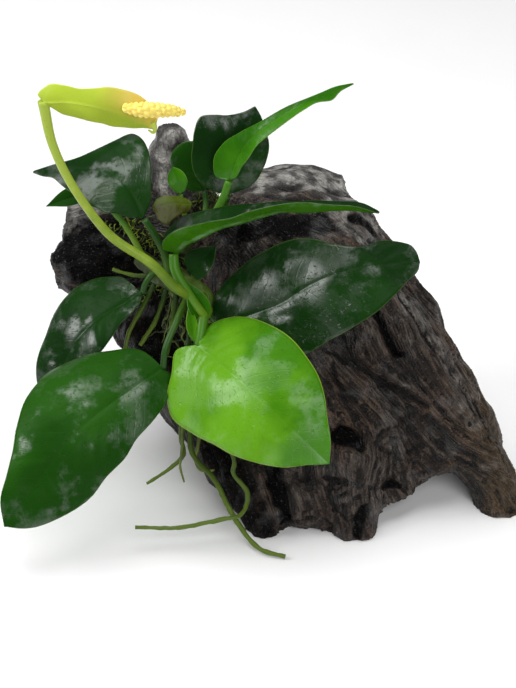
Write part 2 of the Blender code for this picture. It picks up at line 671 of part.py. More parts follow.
def make_flower():
    stalk = rod("flower_stalk", FLOWER_STALK, STALK_BEVEL, "stalk")
    carve(stalk, swollen_rod(RHIZOMES["rhizome"], STALK_BEVEL))
    carve(stalk, swollen_blade(SPATHE))
    for crossed in CROSSED_STALKS["flower_stalk"]:
        carve(stalk, swollen_rod(STALKS[crossed], STALK_BEVEL))
    blade("spathe", SPATHE, "flower", columns=3)
    rod("spadix", FLOWER_SPIKE, STALK_BEVEL, "flower")


def make_roots():
    for name, rows in ROOTS.items():
        root = rod(name, rows, ROOT_BEVEL, "root")
        carve(root, swollen_rod(RHIZOMES["rhizome"], STALK_BEVEL))


def build():
    for item in list(bpy.data.objects):
        bpy.data.objects.remove(item)
    trunk = make_wood()[0]
    for name, rows in RHIZOMES.items():
        rod(name, rows, STALK_BEVEL, "stalk")
        carve(trunk, swollen_rod(rows, STALK_BEVEL))
    carve(bpy.data.objects["rhizome_branch"], swollen_rod(RHIZOMES["rhizome"], STALK_BEVEL))
    make_leaves()
    make_flower()
    make_roots()


build()
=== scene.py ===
"""The looks of an anubias on driftwood, built round the solid frame.

Sizes and places are in millimetres, in a frame whose X runs to the right, Y away from the front and Z up.
place() turns them into the frame's metres.
"""

import math

import bmesh
import bpy
import numpy as np
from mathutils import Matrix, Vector
from mathutils.bvhtree import BVHTree


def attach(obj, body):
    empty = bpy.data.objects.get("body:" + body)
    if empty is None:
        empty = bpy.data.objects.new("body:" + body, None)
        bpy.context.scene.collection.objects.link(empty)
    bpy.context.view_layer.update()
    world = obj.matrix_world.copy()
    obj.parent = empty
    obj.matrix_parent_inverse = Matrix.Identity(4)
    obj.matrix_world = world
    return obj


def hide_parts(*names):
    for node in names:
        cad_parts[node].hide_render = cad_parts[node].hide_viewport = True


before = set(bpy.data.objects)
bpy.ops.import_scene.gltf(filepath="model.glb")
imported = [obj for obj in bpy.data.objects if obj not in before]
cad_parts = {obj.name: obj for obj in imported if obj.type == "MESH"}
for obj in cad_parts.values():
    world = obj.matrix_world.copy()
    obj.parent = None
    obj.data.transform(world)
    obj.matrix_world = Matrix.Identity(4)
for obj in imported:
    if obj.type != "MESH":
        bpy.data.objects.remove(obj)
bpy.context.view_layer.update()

MM = 0.001
MIDDLE = np.array((-4.3, -4.8, 0.0))

# Camera and light.
PHOTO_SIZE = (516, 688)
CAMERA_DISTANCE = 640.0
CAMERA_ELEVATION = 35.0
CAMERA_TARGET = (0.0, 0.0, 60.0)
CAMERA_LENS = 90.0
SENSOR = 36.0
FLOOR_SIZE = 6000.0
ROOM_LIGHT = 0.15

# Wood.
WOOD_NODES = ("driftwood_trunk", "driftwood_right_root", "driftwood_left_limb", "driftwood_spur")
WOOD_SWELL = 0.35
WOOD_VOXEL = 0.92
FACET_SMOOTHING = 60
FIBRE = {"size": 1.3, "reach": 10.0, "steps": 9, "height": 0.17}
STRAND = {"size": 2.4, "reach": 24.0, "steps": 14, "height": 0.42}
FLUTE = {"size": 6.5, "reach": 40.0, "steps": 12, "height": 0.8}
CRACK_WIDTH = 0.10
CRACK_DEPTH = 0.8
LUMP_HEIGHT = 0.9
EDGE_CALM = (0.5, 2.2)

# The way the wood's fibres run: named lines of (x, y, z) down its roots and limbs.
GRAIN_LINES = {
    "right_root": ((-10, 38, 95), (33, 25, 76), (62, 3, 44), (84, -17, 16), (96, -27, 0)),
    "right_edge": ((20, 52, 96), (50, 40, 78), (72, 18, 50), (90, -6, 22), (99, -20, 0)),
    "middle_root": ((-12, 32, 90), (24, 10, 63), (46, -7, 38), (60, -18, 18)),
    "front_root": ((-12, 24, 84), (12, 4, 57), (28, -18, 28), (37, -35, 3)),
    "left_root": ((-18, 18, 78), (-7, -4, 48), (0, -22, 22), (3, -37, 2)),
    "hump": ((-26, 58, 94), (6, 62, 99), (42, 54, 92)),
    "left_lobe": ((-16, 45, 82), (-48, 46, 86), (-80, 48, 84)),
    "spur": ((-26, 46, 86), (-32, 47, 105), (-34, 48, 128)),
    "rear_foot": ((2, 54, 82), (8, 58, 40), (8, 62, 0)),
    "rear_right_foot": ((28, 50, 82), (50, 50, 40), (66, 54, 0)),
    "rear_left_foot": ((-16, 52, 76), (-24, 50, 36), (-34, 54, 0)),
}

# What the photograph shows on the wood, as lines of its pixels. Each is pressed in by a depth in
# millimetres, or raised where that is below nought, over a radius, and darkened by a share.
# The darkening of the marks is painted shade: in their pressed grooves, cracks, pits, holes, hollows and cleft, in the
# notch, on the left face and the lobe's front, and under the middle leaf.
MARKS = {
    # These first four marks paint a grey wet reflection on the tops and edges that face the light.
    "hump_top": {
        "pixels": ((235, 182), (262, 174), (290, 170), (315, 172), (335, 182), (345, 196), (300, 186), (262, 188)),
        "radius": 7.0, "depth": 0.0, "dark": 0.0, "grey": 1.0,
    },
    "hump_side": {
        "pixels": ((336, 208), (352, 214), (368, 222), (380, 236), (362, 240), (346, 228)), "radius": 4.0,
        "depth": 0.0, "dark": 0.0, "grey": 0.8,
    },
    "right_edge": {
        "pixels": ((404, 300), (424, 326), (444, 356), (462, 388), (476, 420)), "radius": 4.5, "depth": 0.0,
        "dark": 0.0, "grey": 0.35,
    },
    "lobe_top": {
        "pixels": ((70, 200), (76, 215), (72, 228), (86, 210)), "radius": 6.0, "depth": 0.0, "dark": 0.0,
        "grey": 0.8,
    },
    "groove_below_leaf": {
        "pixels": ((372, 306), (379, 318), (385, 331), (392, 345), (400, 354)), "radius": 2.0, "depth": 2.6, "dark": 0.9,
    },
    "groove_middle": {
        "pixels": ((400, 354), (411, 363), (421, 372), (430, 383)), "radius": 1.2, "depth": 1.1, "dark": 0.5,
    },
    "groove_right": {
        "pixels": ((398, 292), (407, 308), (417, 324), (429, 343), (441, 360)), "radius": 1.1, "depth": 1.0, "dark": 0.4,
    },
    "groove_far_right": {
        "pixels": ((410, 280), (422, 300), (436, 320), (448, 340), (461, 362), (475, 390)), "radius": 1.0, "depth": 0.7,
        "dark": 0.3,
    },
    "groove_long": {
        "pixels": ((326, 350), (345, 361), (360, 369), (378, 377), (394, 387), (410, 398), (426, 408)), "radius": 1.3,
        "depth": 1.2, "dark": 0.5,
    },
    "groove_upper": {
        "pixels": ((350, 332), (361, 345), (371, 361), (386, 378)), "radius": 1.2, "depth": 1.0, "dark": 0.5,
    },
    "groove_left": {
        "pixels": ((334, 366), (340, 384), (348, 402), (357, 416)), "radius": 1.6, "depth": 1.1, "dark": 0.5,
    },
    "groove_low": {
        "pixels": ((368, 394), (382, 407), (397, 417), (412, 425)), "radius": 1.5, "depth": 0.9, "dark": 0.4,
    },
    "ridge_long": {
        "pixels": ((338, 345), (356, 356), (374, 366), (392, 377), (412, 391), (430, 402)), "radius": 1.6,
        "depth": -1.1, "dark": 0.0,
    },
    "ridge_right": {
        "pixels": ((388, 300), (398, 318), (410, 336), (424, 354), (440, 374)), "radius": 1.5, "depth": -0.9, "dark": 0.0,
    },
    "ridge_edge": {
        "pixels": ((420, 345), (434, 360), (447, 376), (458, 394), (468, 412)), "radius": 2.2, "depth": -1.0, "dark": 0.0,
    },
    "dark_hollow": {
        "pixels": ((386, 388), (400, 398), (412, 410)), "radius": 5.0, "depth": 1.0, "dark": 0.35,
    },
    "pit": {"pixels": ((338, 436), (348, 437), (358, 441)), "radius": 3.6, "depth": 4.5, "dark": 1.0},
    "pit_lip": {"pixels": ((334, 456), (346, 453), (358, 456)), "radius": 2.2, "depth": -1.2, "dark": 0.0},
    "knot": {"pixels": ((395, 438), (398, 439)), "radius": 0.9, "depth": 0.9, "dark": 0.7},
    "knot_ring_low": {
        "pixels": ((376, 443), (384, 450), (397, 454), (411, 451), (423, 445)), "radius": 0.9, "depth": 0.6, "dark": 0.3,
    },
    "knot_ring_high": {
        "pixels": ((378, 437), (386, 430), (397, 427), (409, 430), (417, 438)), "radius": 0.9, "depth": 0.6, "dark": 0.3,
    },
    "shelf": {
        "pixels": ((318, 470), (335, 461), (352, 458), (372, 461), (392, 464), (412, 463)), "radius": 4.5,
        "depth": -1.3, "dark": 0.0,
    },
    "shelf_shadow": {
        "pixels": ((305, 483), (330, 480), (355, 484), (376, 488)), "radius": 1.5, "depth": 1.0, "dark": 0.45,
    },
    "spot_left": {"pixels": ((338, 497), (344, 495)), "radius": 1.2, "depth": 0.8, "dark": 0.7},
    "spot_right": {"pixels": ((354, 499), (360, 497)), "radius": 1.2, "depth": 0.8, "dark": 0.7},
    "hole": {"pixels": ((386, 487), (393, 485), (399, 487)), "radius": 1.7, "depth": 1.8, "dark": 1.0},
    "foot_pit": {"pixels": ((366, 509), (361, 521), (358, 534)), "radius": 2.6, "depth": 2.6, "dark": 1.0},
    "cleft": {
        "pixels": ((270, 468), (275, 484), (279, 500), (284, 516), (288, 528)), "radius": 3.0, "depth": 3.2, "dark": 1.0,
    },
    "left_face": {"pixels": ((212, 452), (230, 480), (246, 505), (258, 528)), "radius": 8.0, "depth": 0.6, "dark": 0.8},
    "under_middle_leaf": {
        "pixels": ((240, 229), (262, 225), (292, 223), (322, 222)), "radius": 6.5, "depth": 1.6, "dark": 1.0,
    },
    "hump_hollow": {"pixels": ((354, 216), (363, 223), (372, 231)), "radius": 2.8, "depth": 2.0, "dark": 0.85},
    "hump_ridge": {"pixels": ((334, 214), (341, 224), (347, 236), (354, 245)), "radius": 2.6, "depth": -1.4, "dark": 0.0},
    "hump_foot": {"pixels": ((256, 199), (280, 196), (304, 199)), "radius": 2.0, "depth": 0.8, "dark": 0.6},
    "small_crack": {"pixels": ((270, 246), (275, 251), (281, 255)), "radius": 0.8, "depth": 0.8, "dark": 0.6},
    "lobe_front": {"pixels": ((72, 250), (86, 268), (104, 262), (96, 240), (112, 236)), "radius": 9.0, "depth": 0.0, "dark": 1.0},
    "notch": {
        "pixels": ((118, 240), (140, 262), (160, 290), (176, 320), (186, 350), (150, 330), (130, 300)), "radius": 12.0,
        "depth": 0.0, "dark": 0.85,
    },
}

# Leaves.
BIG_ROWS = 90
BIG_COLUMNS = 20
SMALL_ROWS = 40
SMALL_COLUMNS = 10
SMALL_LENGTH = 30.0
COLUMN_BUNCHING = 1.35
RIB_BUNCHING = 1.2
BLADE_THICKNESS = 0.6
EDGE_THICKNESS = 0.3
VEIN_SPACING = 8.0
VEIN_LEAN = 0.62
VEIN_BEND = 0.012
QUILT_HEIGHT = 0.20
OVAL_LEAN = 0.8
GROOVE_DEPTH = 0.35
GROOVE_WIDTH = 0.8
KEEL_HEIGHT = 1.0
KEEL_WIDTH = 1.1

# Each blade: the points of its rib from the notch to the tip, the side that its top faces at either end,
# the lift of its left and right halves in degrees and how much they curl at the reach of curl_at, the
# height of the waves at its edge, and the look that it wears. left and right are the outlines of its
# halves, as distances along the rib and across from it. A blade without them is an oval of a given width.
BLADES = {
    "leaf_front_light": {
        "rib": ((-22, -15, 70), (0, -42, 67), (25, -56, 48)),
        "faces": ((-0.32, -0.65, 0.68), (-0.2, -0.75, 0.6)),
        "lift": (4, 4), "curl": (-16, -16), "curl_at": 26.5, "wave": 0.7, "look": "light",
        "left": (
            (-2, 7.5), (2, 15), (9.5, 20), (19.5, 22), (29, 23), (37.5, 22), (45, 20), (52, 16), (58, 11),
            (64.5, 6),
        ),
        "right": (
            (-6, 6.5), (-1.5, 14), (1, 22), (7, 27.5), (18.5, 27), (32, 23.5), (43.5, 21.5), (52, 18),
            (59, 12.5), (64, 6),
        ),
    },
    "leaf_front_left": {
        "rib": ((-35, -15, 59.5), (-63.5, -42.5, 52.5), (-90, -62, 24.5)),
        "faces": ((0.0, -0.6, 0.8), (0.25, -0.75, 0.6)),
        "lift": (4, 4), "curl": (-25, -25), "curl_at": 22.5, "wave": 0.5, "look": "green",
        "left": (
            (-0.5, 5), (6.5, 10.5), (15, 13.5), (24.5, 15.5), (33.5, 19), (46, 19.5), (57, 20), (65.5, 17),
            (73, 12.5), (79.5, 7),
        ),
        "right": (
            (0.5, 11), (6.5, 18.5), (13.5, 24.5), (23.5, 26.5), (34.5, 26.5), (44, 24), (52.5, 19),
            (60.5, 14), (68.5, 10), (77, 6.5),
        ),
    },
    "leaf_left": {
        "rib": ((-43, 6, 79), (-66, 1.5, 63), (-81, -5.5, 35)),
        "faces": ((-0.4, -0.35, 0.83), (-0.4, -0.5, 0.7)),
        "lift": (4, 14), "curl": (-20, -12), "curl_at": 15.5, "wave": 0.3, "look": "dark",
        "left": (
            (1.5, 3.5), (6, 5.5), (11.5, 7), (16.5, 9.5), (22.5, 11), (30, 11.5), (37.5, 11), (43.5, 9.5),
            (49, 7), (54.5, 4),
        ),
        "right": (
            (4, 10), (10.5, 15), (17, 17.5), (22.5, 18.5), (27.5, 18), (32.5, 16.5), (37.5, 14.5),
            (43.5, 13), (49.5, 10.5), (55, 6.5),
        ),
    },
    "leaf_upper_left": {
        "rib": (
            (-41, 6, 111), (-44.5, 10, 117), (-49.5, 14, 122), (-56.5, 17, 124.5), (-68, 20, 122.5),
            (-81.5, 22, 120.5),
        ),
        "faces": ((0.25, -0.6, 0.75), (-0.05, -0.15, 1.0)),
        "lift": (0, 0), "curl": (-12, -12), "curl_at": 23, "wave": 0.4, "look": "dark",
        "left": (
            (1.5, 4), (4, 7), (7, 10.5), (10, 13), (22, 15), (29, 13), (33.5, 10.5), (38, 7.5), (42, 4),
            (46, 2.5),
        ),
        "right": (
            (4, 5), (9.5, 9), (14, 13.5), (17.5, 18.5), (22, 23), (24.5, 17), (28.5, 12.5), (33, 8.5),
            (38.5, 4.5), (44, 2),
        ),
    },
    "leaf_back": {
        "rib": ((-11, 24, 110), (-9, 25, 127), (-1, 30, 143)),
        "faces": ((0.15, -0.93, 0.3), (0.1, -0.85, 0.5)),
        "lift": (8, 8), "curl": (-6, -6), "curl_at": 15.5, "wave": 0.4, "look": "dark",
        "left": (
            (1.5, 4.5), (4.5, 9.5), (9, 13), (13, 14.5), (16.5, 15), (20, 16), (24, 16), (26.5, 12),
            (28.5, 7.5), (32, 3),
        ),
        "right": (
            (2, 4.5), (3.5, 7.5), (6.5, 10), (10.5, 11.5), (16.5, 12.5), (22.5, 12), (26.5, 10.5),
            (29.5, 8), (32, 5.5), (34, 3),
        ),
    },
    "leaf_back_grey": {
        "rib": ((-20, 34.5, 106), (-22.5, 35.5, 115), (-21, 38, 124.5)),
        "faces": ((-0.2, -0.9, 0.35), (-0.1, -0.85, 0.5)),
        "lift": (8, 8), "curl": (-6, -6), "curl_at": 10, "wave": 0.3, "look": "green",
        "left": ((1, 4), (4, 7.5), (8, 9.5), (12, 10), (15.5, 8.5), (18.5, 5)),
        "right": ((1, 4), (4, 7.5), (8, 9.5), (12, 10), (15.5, 8.5), (18.5, 5)),
    },
    "leaf_upper_light": {
        "rib": ((-10, 14, 122), (-6.5, 12.5, 133), (0, 11, 142.5), (14.5, 8, 154.5), (32.5, 6, 164)),
        "faces": ((-0.6, -0.3, 0.7), (-0.5, -0.1, 0.8)),
        "lift": (30, -4), "curl": (0, 0), "curl_at": 12, "wave": 0.4, "look": "fresh",
        "left": (
            (-2.5, 6), (3, 9.5), (10, 8.5), (17, 5.5), (23.5, 3.5), (30.5, 2.5), (37.5, 2), (44, 1.5),
            (50.5, 1.5), (56.5, 1.5),
        ),
        "right": (
            (4, 3.5), (9, 5), (16, 6), (21.5, 4.5), (27, 4), (33, 4), (39, 4), (44, 3.5), (49, 2.5),
            (54.5, 4), (58, 1),
        ),
    },
    "leaf_middle": {
        "rib": (
            (-29.5, -1, 101), (-24.5, -3, 106.5), (-18, -5, 111), (-10, -6.5, 115.5), (0, -8, 119.5),
            (9.5, -8, 121.5), (21.5, -7, 121.5), (31.5, -6, 121.5), (42.5, -5, 120),
        ),
        "faces": ((-0.4, 0.35, 0.85), (0.0, 0.35, 0.93)),
        "lift": (36, 36), "curl": (-6, 0), "curl_at": 17.5, "wave": 0.5, "look": "dark",
        "left": (
            (-9, 10), (-8, 18), (0, 18.5), (9, 14.5), (20.5, 11.5), (30, 8.5), (39.5, 6), (48, 5),
            (56.5, 5.5), (64.5, 4), (72.5, 3.5),
        ),
        "right": (
            (0, 6), (6, 9), (13.5, 9.5), (20, 7.5), (27.5, 6), (35.5, 7), (41.5, 6.5), (48, 5.5),
            (55.5, 4.5), (64, 3), (71.5, 2.5),
        ),
    },
    "leaf_right": {
        "rib": (
            (-14.5, -4, 71), (-3.5, -7, 77.5), (8.5, -10, 85), (19, -11, 93.5), (36, -12, 101.5),
            (57, -12, 103.5),
        ),
        "faces": ((-0.4, -0.75, 0.5), (-0.3, -0.6, 0.75)),
        "lift": (6, 6), "curl": (-16, -16), "curl_at": 20.5, "wave": 0.5, "look": "dark",
        "left": (
            (0, 7.5), (5.5, 14.5), (14, 19), (23.5, 21.5), (37.5, 20), (45.5, 16.5), (53, 11), (61, 7.5),
            (68.5, 9), (77, 7), (80, 4),
        ),
        "right": (
            (4, 7.5), (11, 12.5), (18.5, 17), (25.5, 20), (31.5, 20.5), (43, 20.5), (52.5, 19.5),
            (63.5, 17), (71, 12), (76.5, 6.5), (80, 3.5),
        ),
    },
    "leaf_old_yellow": {
        "rib": ((-24, 17, 110), (-31, 14, 112), (-38, 12, 111.5)),
        "faces": ((0.0, -0.6, 0.8), (0.0, -0.6, 0.8)),
        "lift": (6, 6), "curl": (0, 0), "curl_at": 6, "wave": 0.4, "look": "old",
        "left": ((1, 2), (3, 3.5), (5.5, 4.5), (9.5, 6.5), (11.5, 8), (13, 7.5), (14.5, 5)),
        "right": ((1, 1.5), (4, 3), (7.5, 3), (10.5, 3.5), (13, 3), (14.5, 1.5)),
    },
    "leaf_young_green": {
        "rib": ((-28.5, 24, 110.5), (-29.5, 25, 115), (-31, 27, 120)),
        "faces": ((0.0, -0.9, 0.4), (0.0, -0.9, 0.4)),
        "lift": (20, 20), "curl": (0, 0), "curl_at": 4, "wave": 0.1, "look": "fresh",
        "left": ((1, 1.5), (2.5, 2.5), (5, 3.5), (7.5, 3), (9, 2)),
        "right": ((1, 2), (2.5, 3), (4.5, 4), (7, 3.5), (9, 2)),
    },
    "leaf_young_left": {
        "rib": ((-60, 26, 109), (-69, 25, 108), (-78, 24, 105)),
        "faces": ((0.2, -0.5, 0.85), (0.2, -0.5, 0.85)),
        "lift": (20, 20), "curl": (0, 0), "curl_at": 4, "wave": 0.2, "look": "green", "width": 8,
    },
    "leaf_inner": {
        "rib": ((-25, 8, 86), (-20, 6, 93), (-15, 8, 98)), "faces": ((-0.4, -0.8, 0.4), (-0.4, -0.8, 0.4)),
        "lift": (25, 25), "curl": (0, 0), "curl_at": 6, "wave": 0.3, "look": "dark", "width": 12,
    },
}
SPATHE = {
    "rib": (
        (-70.5, -13, 166.5), (-62, -15, 167.5), (-52, -16, 166), (-42.5, -15, 162), (-34.5, -13, 156.5),
    ),
    "faces": ((-0.1, 0.97, -0.1), (0.1, 0.97, 0.0)),
    "lift": (0, 0), "curl": (14, 30), "curl_at": 11, "wave": 0.3, "look": "spathe",
    "left": (
        (2.5, 2), (5.5, 4.5), (9.5, 5.5), (13.5, 6), (17.5, 6), (21.5, 5.5), (25.5, 5.5), (29.5, 4.5),
        (33, 3.5), (36, 1.5),
    ),
    "right": (
        (-2, 3), (2.5, 6), (7.5, 5.5), (11.5, 5), (16, 6), (20, 7.5), (24.5, 8), (29, 8), (33, 7), (37.5, 5),
    ),
}
SHEATHS = {
    "sheath_wide": {
        "rib": ((-19.5, -7, 76), (-22, -7, 84), (-25, -6, 91)), "faces": ((0.1, -0.9, 0.3), (0.1, -0.9, 0.3)),
        "lift": (25, 25), "curl": (0, 0), "curl_at": 4, "wave": 0.1, "look": "fresh", "width": 9,
    },
    "sheath_bright": {
        "rib": ((-22.9, -12.5, 69.5), (-23.9, -10, 75.5), (-25, -8, 83)), "faces": ((0.1, -0.9, 0.3), (0.1, -0.9, 0.3)),
        "lift": (20, 20), "curl": (0, 0), "curl_at": 3, "wave": 0.1, "look": "light", "width": 4.5,
    },
}

# The looks of the blades: the colour of the top, its darker mottling, the veins, the rim and the underside
# in linear red, green and blue, and the top's roughness and how strongly it shines at most.
LEAF_LOOKS = {
    "light": {
        "top": (0.105, 0.290, 0.010), "mottle": (0.032, 0.145, 0.002), "vein": (0.11, 0.30, 0.02),
        "rim": (0.22, 0.36, 0.04), "under": (0.10, 0.28, 0.02), "roughness": 0.34, "sheen": 0.45,
    },
    "fresh": {
        "top": (0.036, 0.160, 0.003), "mottle": (0.014, 0.085, 0.001), "vein": (0.06, 0.20, 0.008),
        "rim": (0.13, 0.26, 0.03), "under": (0.05, 0.19, 0.004), "roughness": 0.34, "sheen": 0.25,
    },
    "green": {
        "top": (0.015, 0.072, 0.005), "mottle": (0.008, 0.046, 0.003), "vein": (0.018, 0.080, 0.007),
        "rim": (0.05, 0.12, 0.015), "under": (0.05, 0.15, 0.01), "roughness": 0.32, "sheen": 0.75,
    },
    "dark": {
        "top": (0.008, 0.036, 0.005), "mottle": (0.004, 0.021, 0.003), "vein": (0.010, 0.042, 0.006),
        "rim": (0.04, 0.09, 0.015), "under": (0.032, 0.130, 0.003), "roughness": 0.30, "sheen": 0.70,
    },
    "old": {
        "top": (0.052, 0.080, 0.002), "mottle": (0.032, 0.034, 0.002), "vein": (0.07, 0.09, 0.004),
        "rim": (0.06, 0.07, 0.01), "under": (0.05, 0.07, 0.003), "roughness": 0.42, "sheen": 0.2,
    },
    "spathe": {
        "top": (0.64, 0.53, 0.11), "mottle": (0.50, 0.52, 0.08), "vein": (0.58, 0.56, 0.12),
        "rim": (0.60, 0.58, 0.18), "under": (0.38, 0.50, 0.04), "roughness": 0.42, "sheen": 0.3,
    },
}
LEAF_WARMTH = (0.70, 0.50, 0.10)

# Stems and roots: rows of (x, y, z, radius).
RHIZOMES = {
    "rhizome": (
        (-44, 22, 84, 3.2), (-36, 14, 82, 4.0), (-27, 9, 80, 4.3), (-20.5, 6, 77.5, 3.8), (-18.5, 4, 73, 2.6),
    ),
    "rhizome_branch": ((-29, 18, 88, 3.2), (-26, 24, 94, 3.8), (-19, 27, 98, 3.4), (-13, 26, 100, 2.4)),
}
STALKS = {
    "stalk_front_light": (
        (-21, 3, 76, 2.6), (-20, -5, 78, 2.4), (-20.5, -11, 74, 1.8), (-21.6, -14.6, 69.4, 1.4),
    ),
    "stalk_front_left": (
        (-26, 5, 77, 1.5), (-29, -4, 75, 1.4), (-33.5, -12, 67, 1.2), (-34.6, -14.6, 59.3, 1.1),
    ),
    "stalk_left": ((-36, 14, 82, 1.5), (-38, 9, 86, 1.3), (-41, 7, 83, 1.2), (-42.6, 6.2, 78.8, 1.1)),
    "stalk_upper_left": (
        (-33, 12, 82, 1.6), (-34, 8, 94, 1.4), (-37.5, 6.5, 104, 1.3), (-40.6, 5.8, 110.2, 1.2),
    ),
    "stalk_back": ((-15, 27, 98, 1.3), (-12.5, 26.5, 104, 1.2), (-11.1, 24.3, 109.4, 1.1)),
    "stalk_back_grey": ((-20, 27, 98, 1.2), (-19.5, 32, 102, 1.1), (-19.9, 34.5, 105.6, 1.0)),
    "stalk_upper_light": (
        (-20, 26, 97, 1.6), (-16, 17, 106, 1.5), (-12.5, 13.5, 115, 1.4), (-10.4, 14, 121.4, 1.4),
    ),
    "stalk_middle": (
        (-18, 2, 74, 1.6), (-19.5, -7, 78, 1.6), (-25, -7, 87, 1.7), (-29.5, -4.5, 95, 1.8),
        (-30.2, -1.5, 100.4, 1.7),
    ),
    "stalk_right": ((-19, 4, 74, 1.5), (-16.5, -1, 72, 1.3), (-14.8, -3.6, 70.8, 1.2)),
    "stalk_young_green": ((-26, 24, 94, 1.0), (-27, 24.5, 100, 0.9), (-28.4, 24, 110, 0.8)),
    "stalk_young_left": ((-42, 20, 84, 1.2), (-50, 24, 98, 1.1), (-59.4, 26, 108.6, 0.9)),
}
FLOWER_STALK = (
    (-20, 5, 78, 1.9), (-22, -4, 83, 1.9), (-29.5, -9, 91, 1.8), (-38, -10, 102, 1.7), (-52, -9, 113, 1.6),
    (-63, -10, 132, 1.5), (-69, -12, 150, 1.6), (-71, -12.8, 166.8, 1.9),
)
FLOWER_SPIKE = (
    (-44.5, -15.5, 166, 1.2), (-41.5, -16.5, 166, 1.9), (-38, -17, 165.9, 2.5), (-34.5, -16.8, 165.7, 2.5),
    (-29, -15.5, 164.8, 2.0), (-26, -14.5, 163.8, 1.4), (-24, -14, 163.5, 0.7),
)
SPATHE_HOOK = ((-35.2, -13, 159.5, 1.3), (-34.4, -13, 157, 0.8), (-35, -13, 155.3, 0.5), (-36.6, -13, 156.3, 0.3))
ROOTS = {
    "root_long": (
        (-22, 4, 75, 1.0), (-24, -10, 46, 1.0), (-25, -20, 26, 1.0), (-16, -30, 19, 1.0), (-9, -40, 10, 1.0),
        (0, -49, 3, 0.9), (10, -52, 1.2, 0.8),
    ),
    "root_crossing": (
        (-20.5, 6, 74, 0.9), (-19.5, -2, 65, 0.9), (-15, -20, 42, 0.9), (-9, -30, 30, 0.9), (-9, -32, 24, 0.9), (-4, -36, 18, 0.9),
        (-6, -43, 14, 0.8), (-13, -46, 14, 0.8), (-29, -46, 10, 0.8), (-45, -47, 11, 0.7),
    ),
    "root_hanging": (
        (-24, 8, 77, 0.9), (-25.5, 1, 66, 0.9), (-27, -8, 50, 0.9), (-29, -15, 30, 0.8), (-28, -18, 22, 0.8), (-34, -20, 16, 0.7),
        (-42, -22, 11, 0.5),
    ),
    "root_left_upper": ((-36, 14, 81, 0.9), (-46, 13, 82, 0.8), (-54, 14, 84, 0.6)),
    "root_left_down": ((-37, 15, 81, 1.0), (-43, 10, 70, 0.9), (-48, 6, 62, 0.9), (-50, 2, 56, 0.7)),
    "root_left_inner": ((-33, 12, 80, 1.0), (-38, 6, 67, 0.9), (-44, 2, 58, 0.8)),
    "root_middle": ((-30, 9, 79, 1.0), (-32, 3, 66, 0.9), (-34, -1, 56, 0.8)),
}

FINE_ROOTS = (
    ((-28, -14, 34, 0.8), (-28.5, -20, 24.6, 0.7), (-29.3, -21, 18.7, 0.55), (-27.9, -22, 11.8, 0.35)),
    (
        (-21, -10, 36, 0.8), (-22.6, -16, 24.3, 0.75), (-23.7, -18, 20.2, 0.7), (-22.2, -20, 16.5, 0.6),
        (-19.2, -22, 17.1, 0.5), (-16.5, -24, 19.2, 0.4),
    ),
)
FINE_ROOT_SEED = 5
FINE_ROOT_COUNT = 60
MOSS_SEED = 8
MOSS_STRANDS = 60
MOSS_SPOTS = (
    ((168, 250), 8), ((176, 262), 7), ((128, 224), 8), ((150, 240), 8), ((205, 196), 8), ((220, 192), 6),
    ((190, 280), 7), ((160, 285), 8),
)


def place(points):
    return (np.asarray(points, float) + MIDDLE) * MM


def unit(vectors):
    return vectors / np.maximum(np.linalg.norm(vectors, axis=-1, keepdims=True), 1e-9)


def smooth_step(low, high, values):
    """Nought below low and one above high, with a smooth rise between."""
    share = np.clip((values - low) / (high - low), 0.0, 1.0)
    return share * share * (3 - 2 * share)


def smooth_path(rows, steps=5):
    """Rows along a curve that passes through the given ones, steps to each stretch between two."""
    given = np.array(rows, float)
    padded = np.vstack([2 * given[0] - given[1], given, 2 * given[-1] - given[-2]])
    path = []
    for i in range(len(given) - 1):
        a, b, c, d = padded[i : i + 4]
        for t in np.arange(steps) / steps:
            bend = 2 * b + (c - a) * t + (2 * a - 5 * b + 4 * c - d) * t**2 + (3 * b - a - 3 * c + d) * t**3
            path.append(bend / 2)
    path.append(given[-1])
    return np.array(path)


def travel_along(path):
    """How far along a path each of its points is."""
    steps = np.linalg.norm(np.diff(path[:, :3], axis=0), axis=1)
    return np.concatenate([[0.0], np.cumsum(steps)])


def blend(block, spots):
    """The values of a block of numbers at places between its cells. The block repeats past its sides."""
    low = np.floor(spots).astype(int)
    part = spots - low
    part = part * part * (3 - 2 * part)
    total = 0.0
    for corner in np.ndindex(2, 2, 2):
        share = np.prod(np.where(corner, part, 1 - part), axis=1)
        x, y, z = ((low + corner) % block.shape[:3]).T
        total = total + block[x, y, z] * (share if block.ndim == 3 else share[:, None])
    return total


class Noise:
    """Smooth noise through space, between about -1 and 1, from a repeating block of random numbers."""

    def __init__(self, seed, side=32):
        self.block = np.random.default_rng(seed).uniform(-1.6, 1.6, (side, side, side))

    def __call__(self, points, size):
        return blend(self.block, points / size)


def link(name, mesh):
    item = bpy.data.objects.new(name, mesh)
    bpy.context.scene.collection.objects.link(item)
    return item


def mesh_item(name, points, faces, slots=None):
    """A smooth mesh object from points in millimetres."""
    mesh = bpy.data.meshes.new(name)
    mesh.from_pydata(place(points).tolist(), [], faces)
    mesh.update()
    mesh.shade_smooth()
    if slots is not None:
        mesh.polygons.foreach_set("material_index", slots)
    return link(name, mesh)


def note(item, **values):
    """Stores a number for each point of a mesh, for its material to read."""
    for label, numbers in values.items():
        layer = item.data.attributes.new(label, "FLOAT", "POINT")
        layer.data.foreach_set("value", np.asarray(numbers, np.float32))


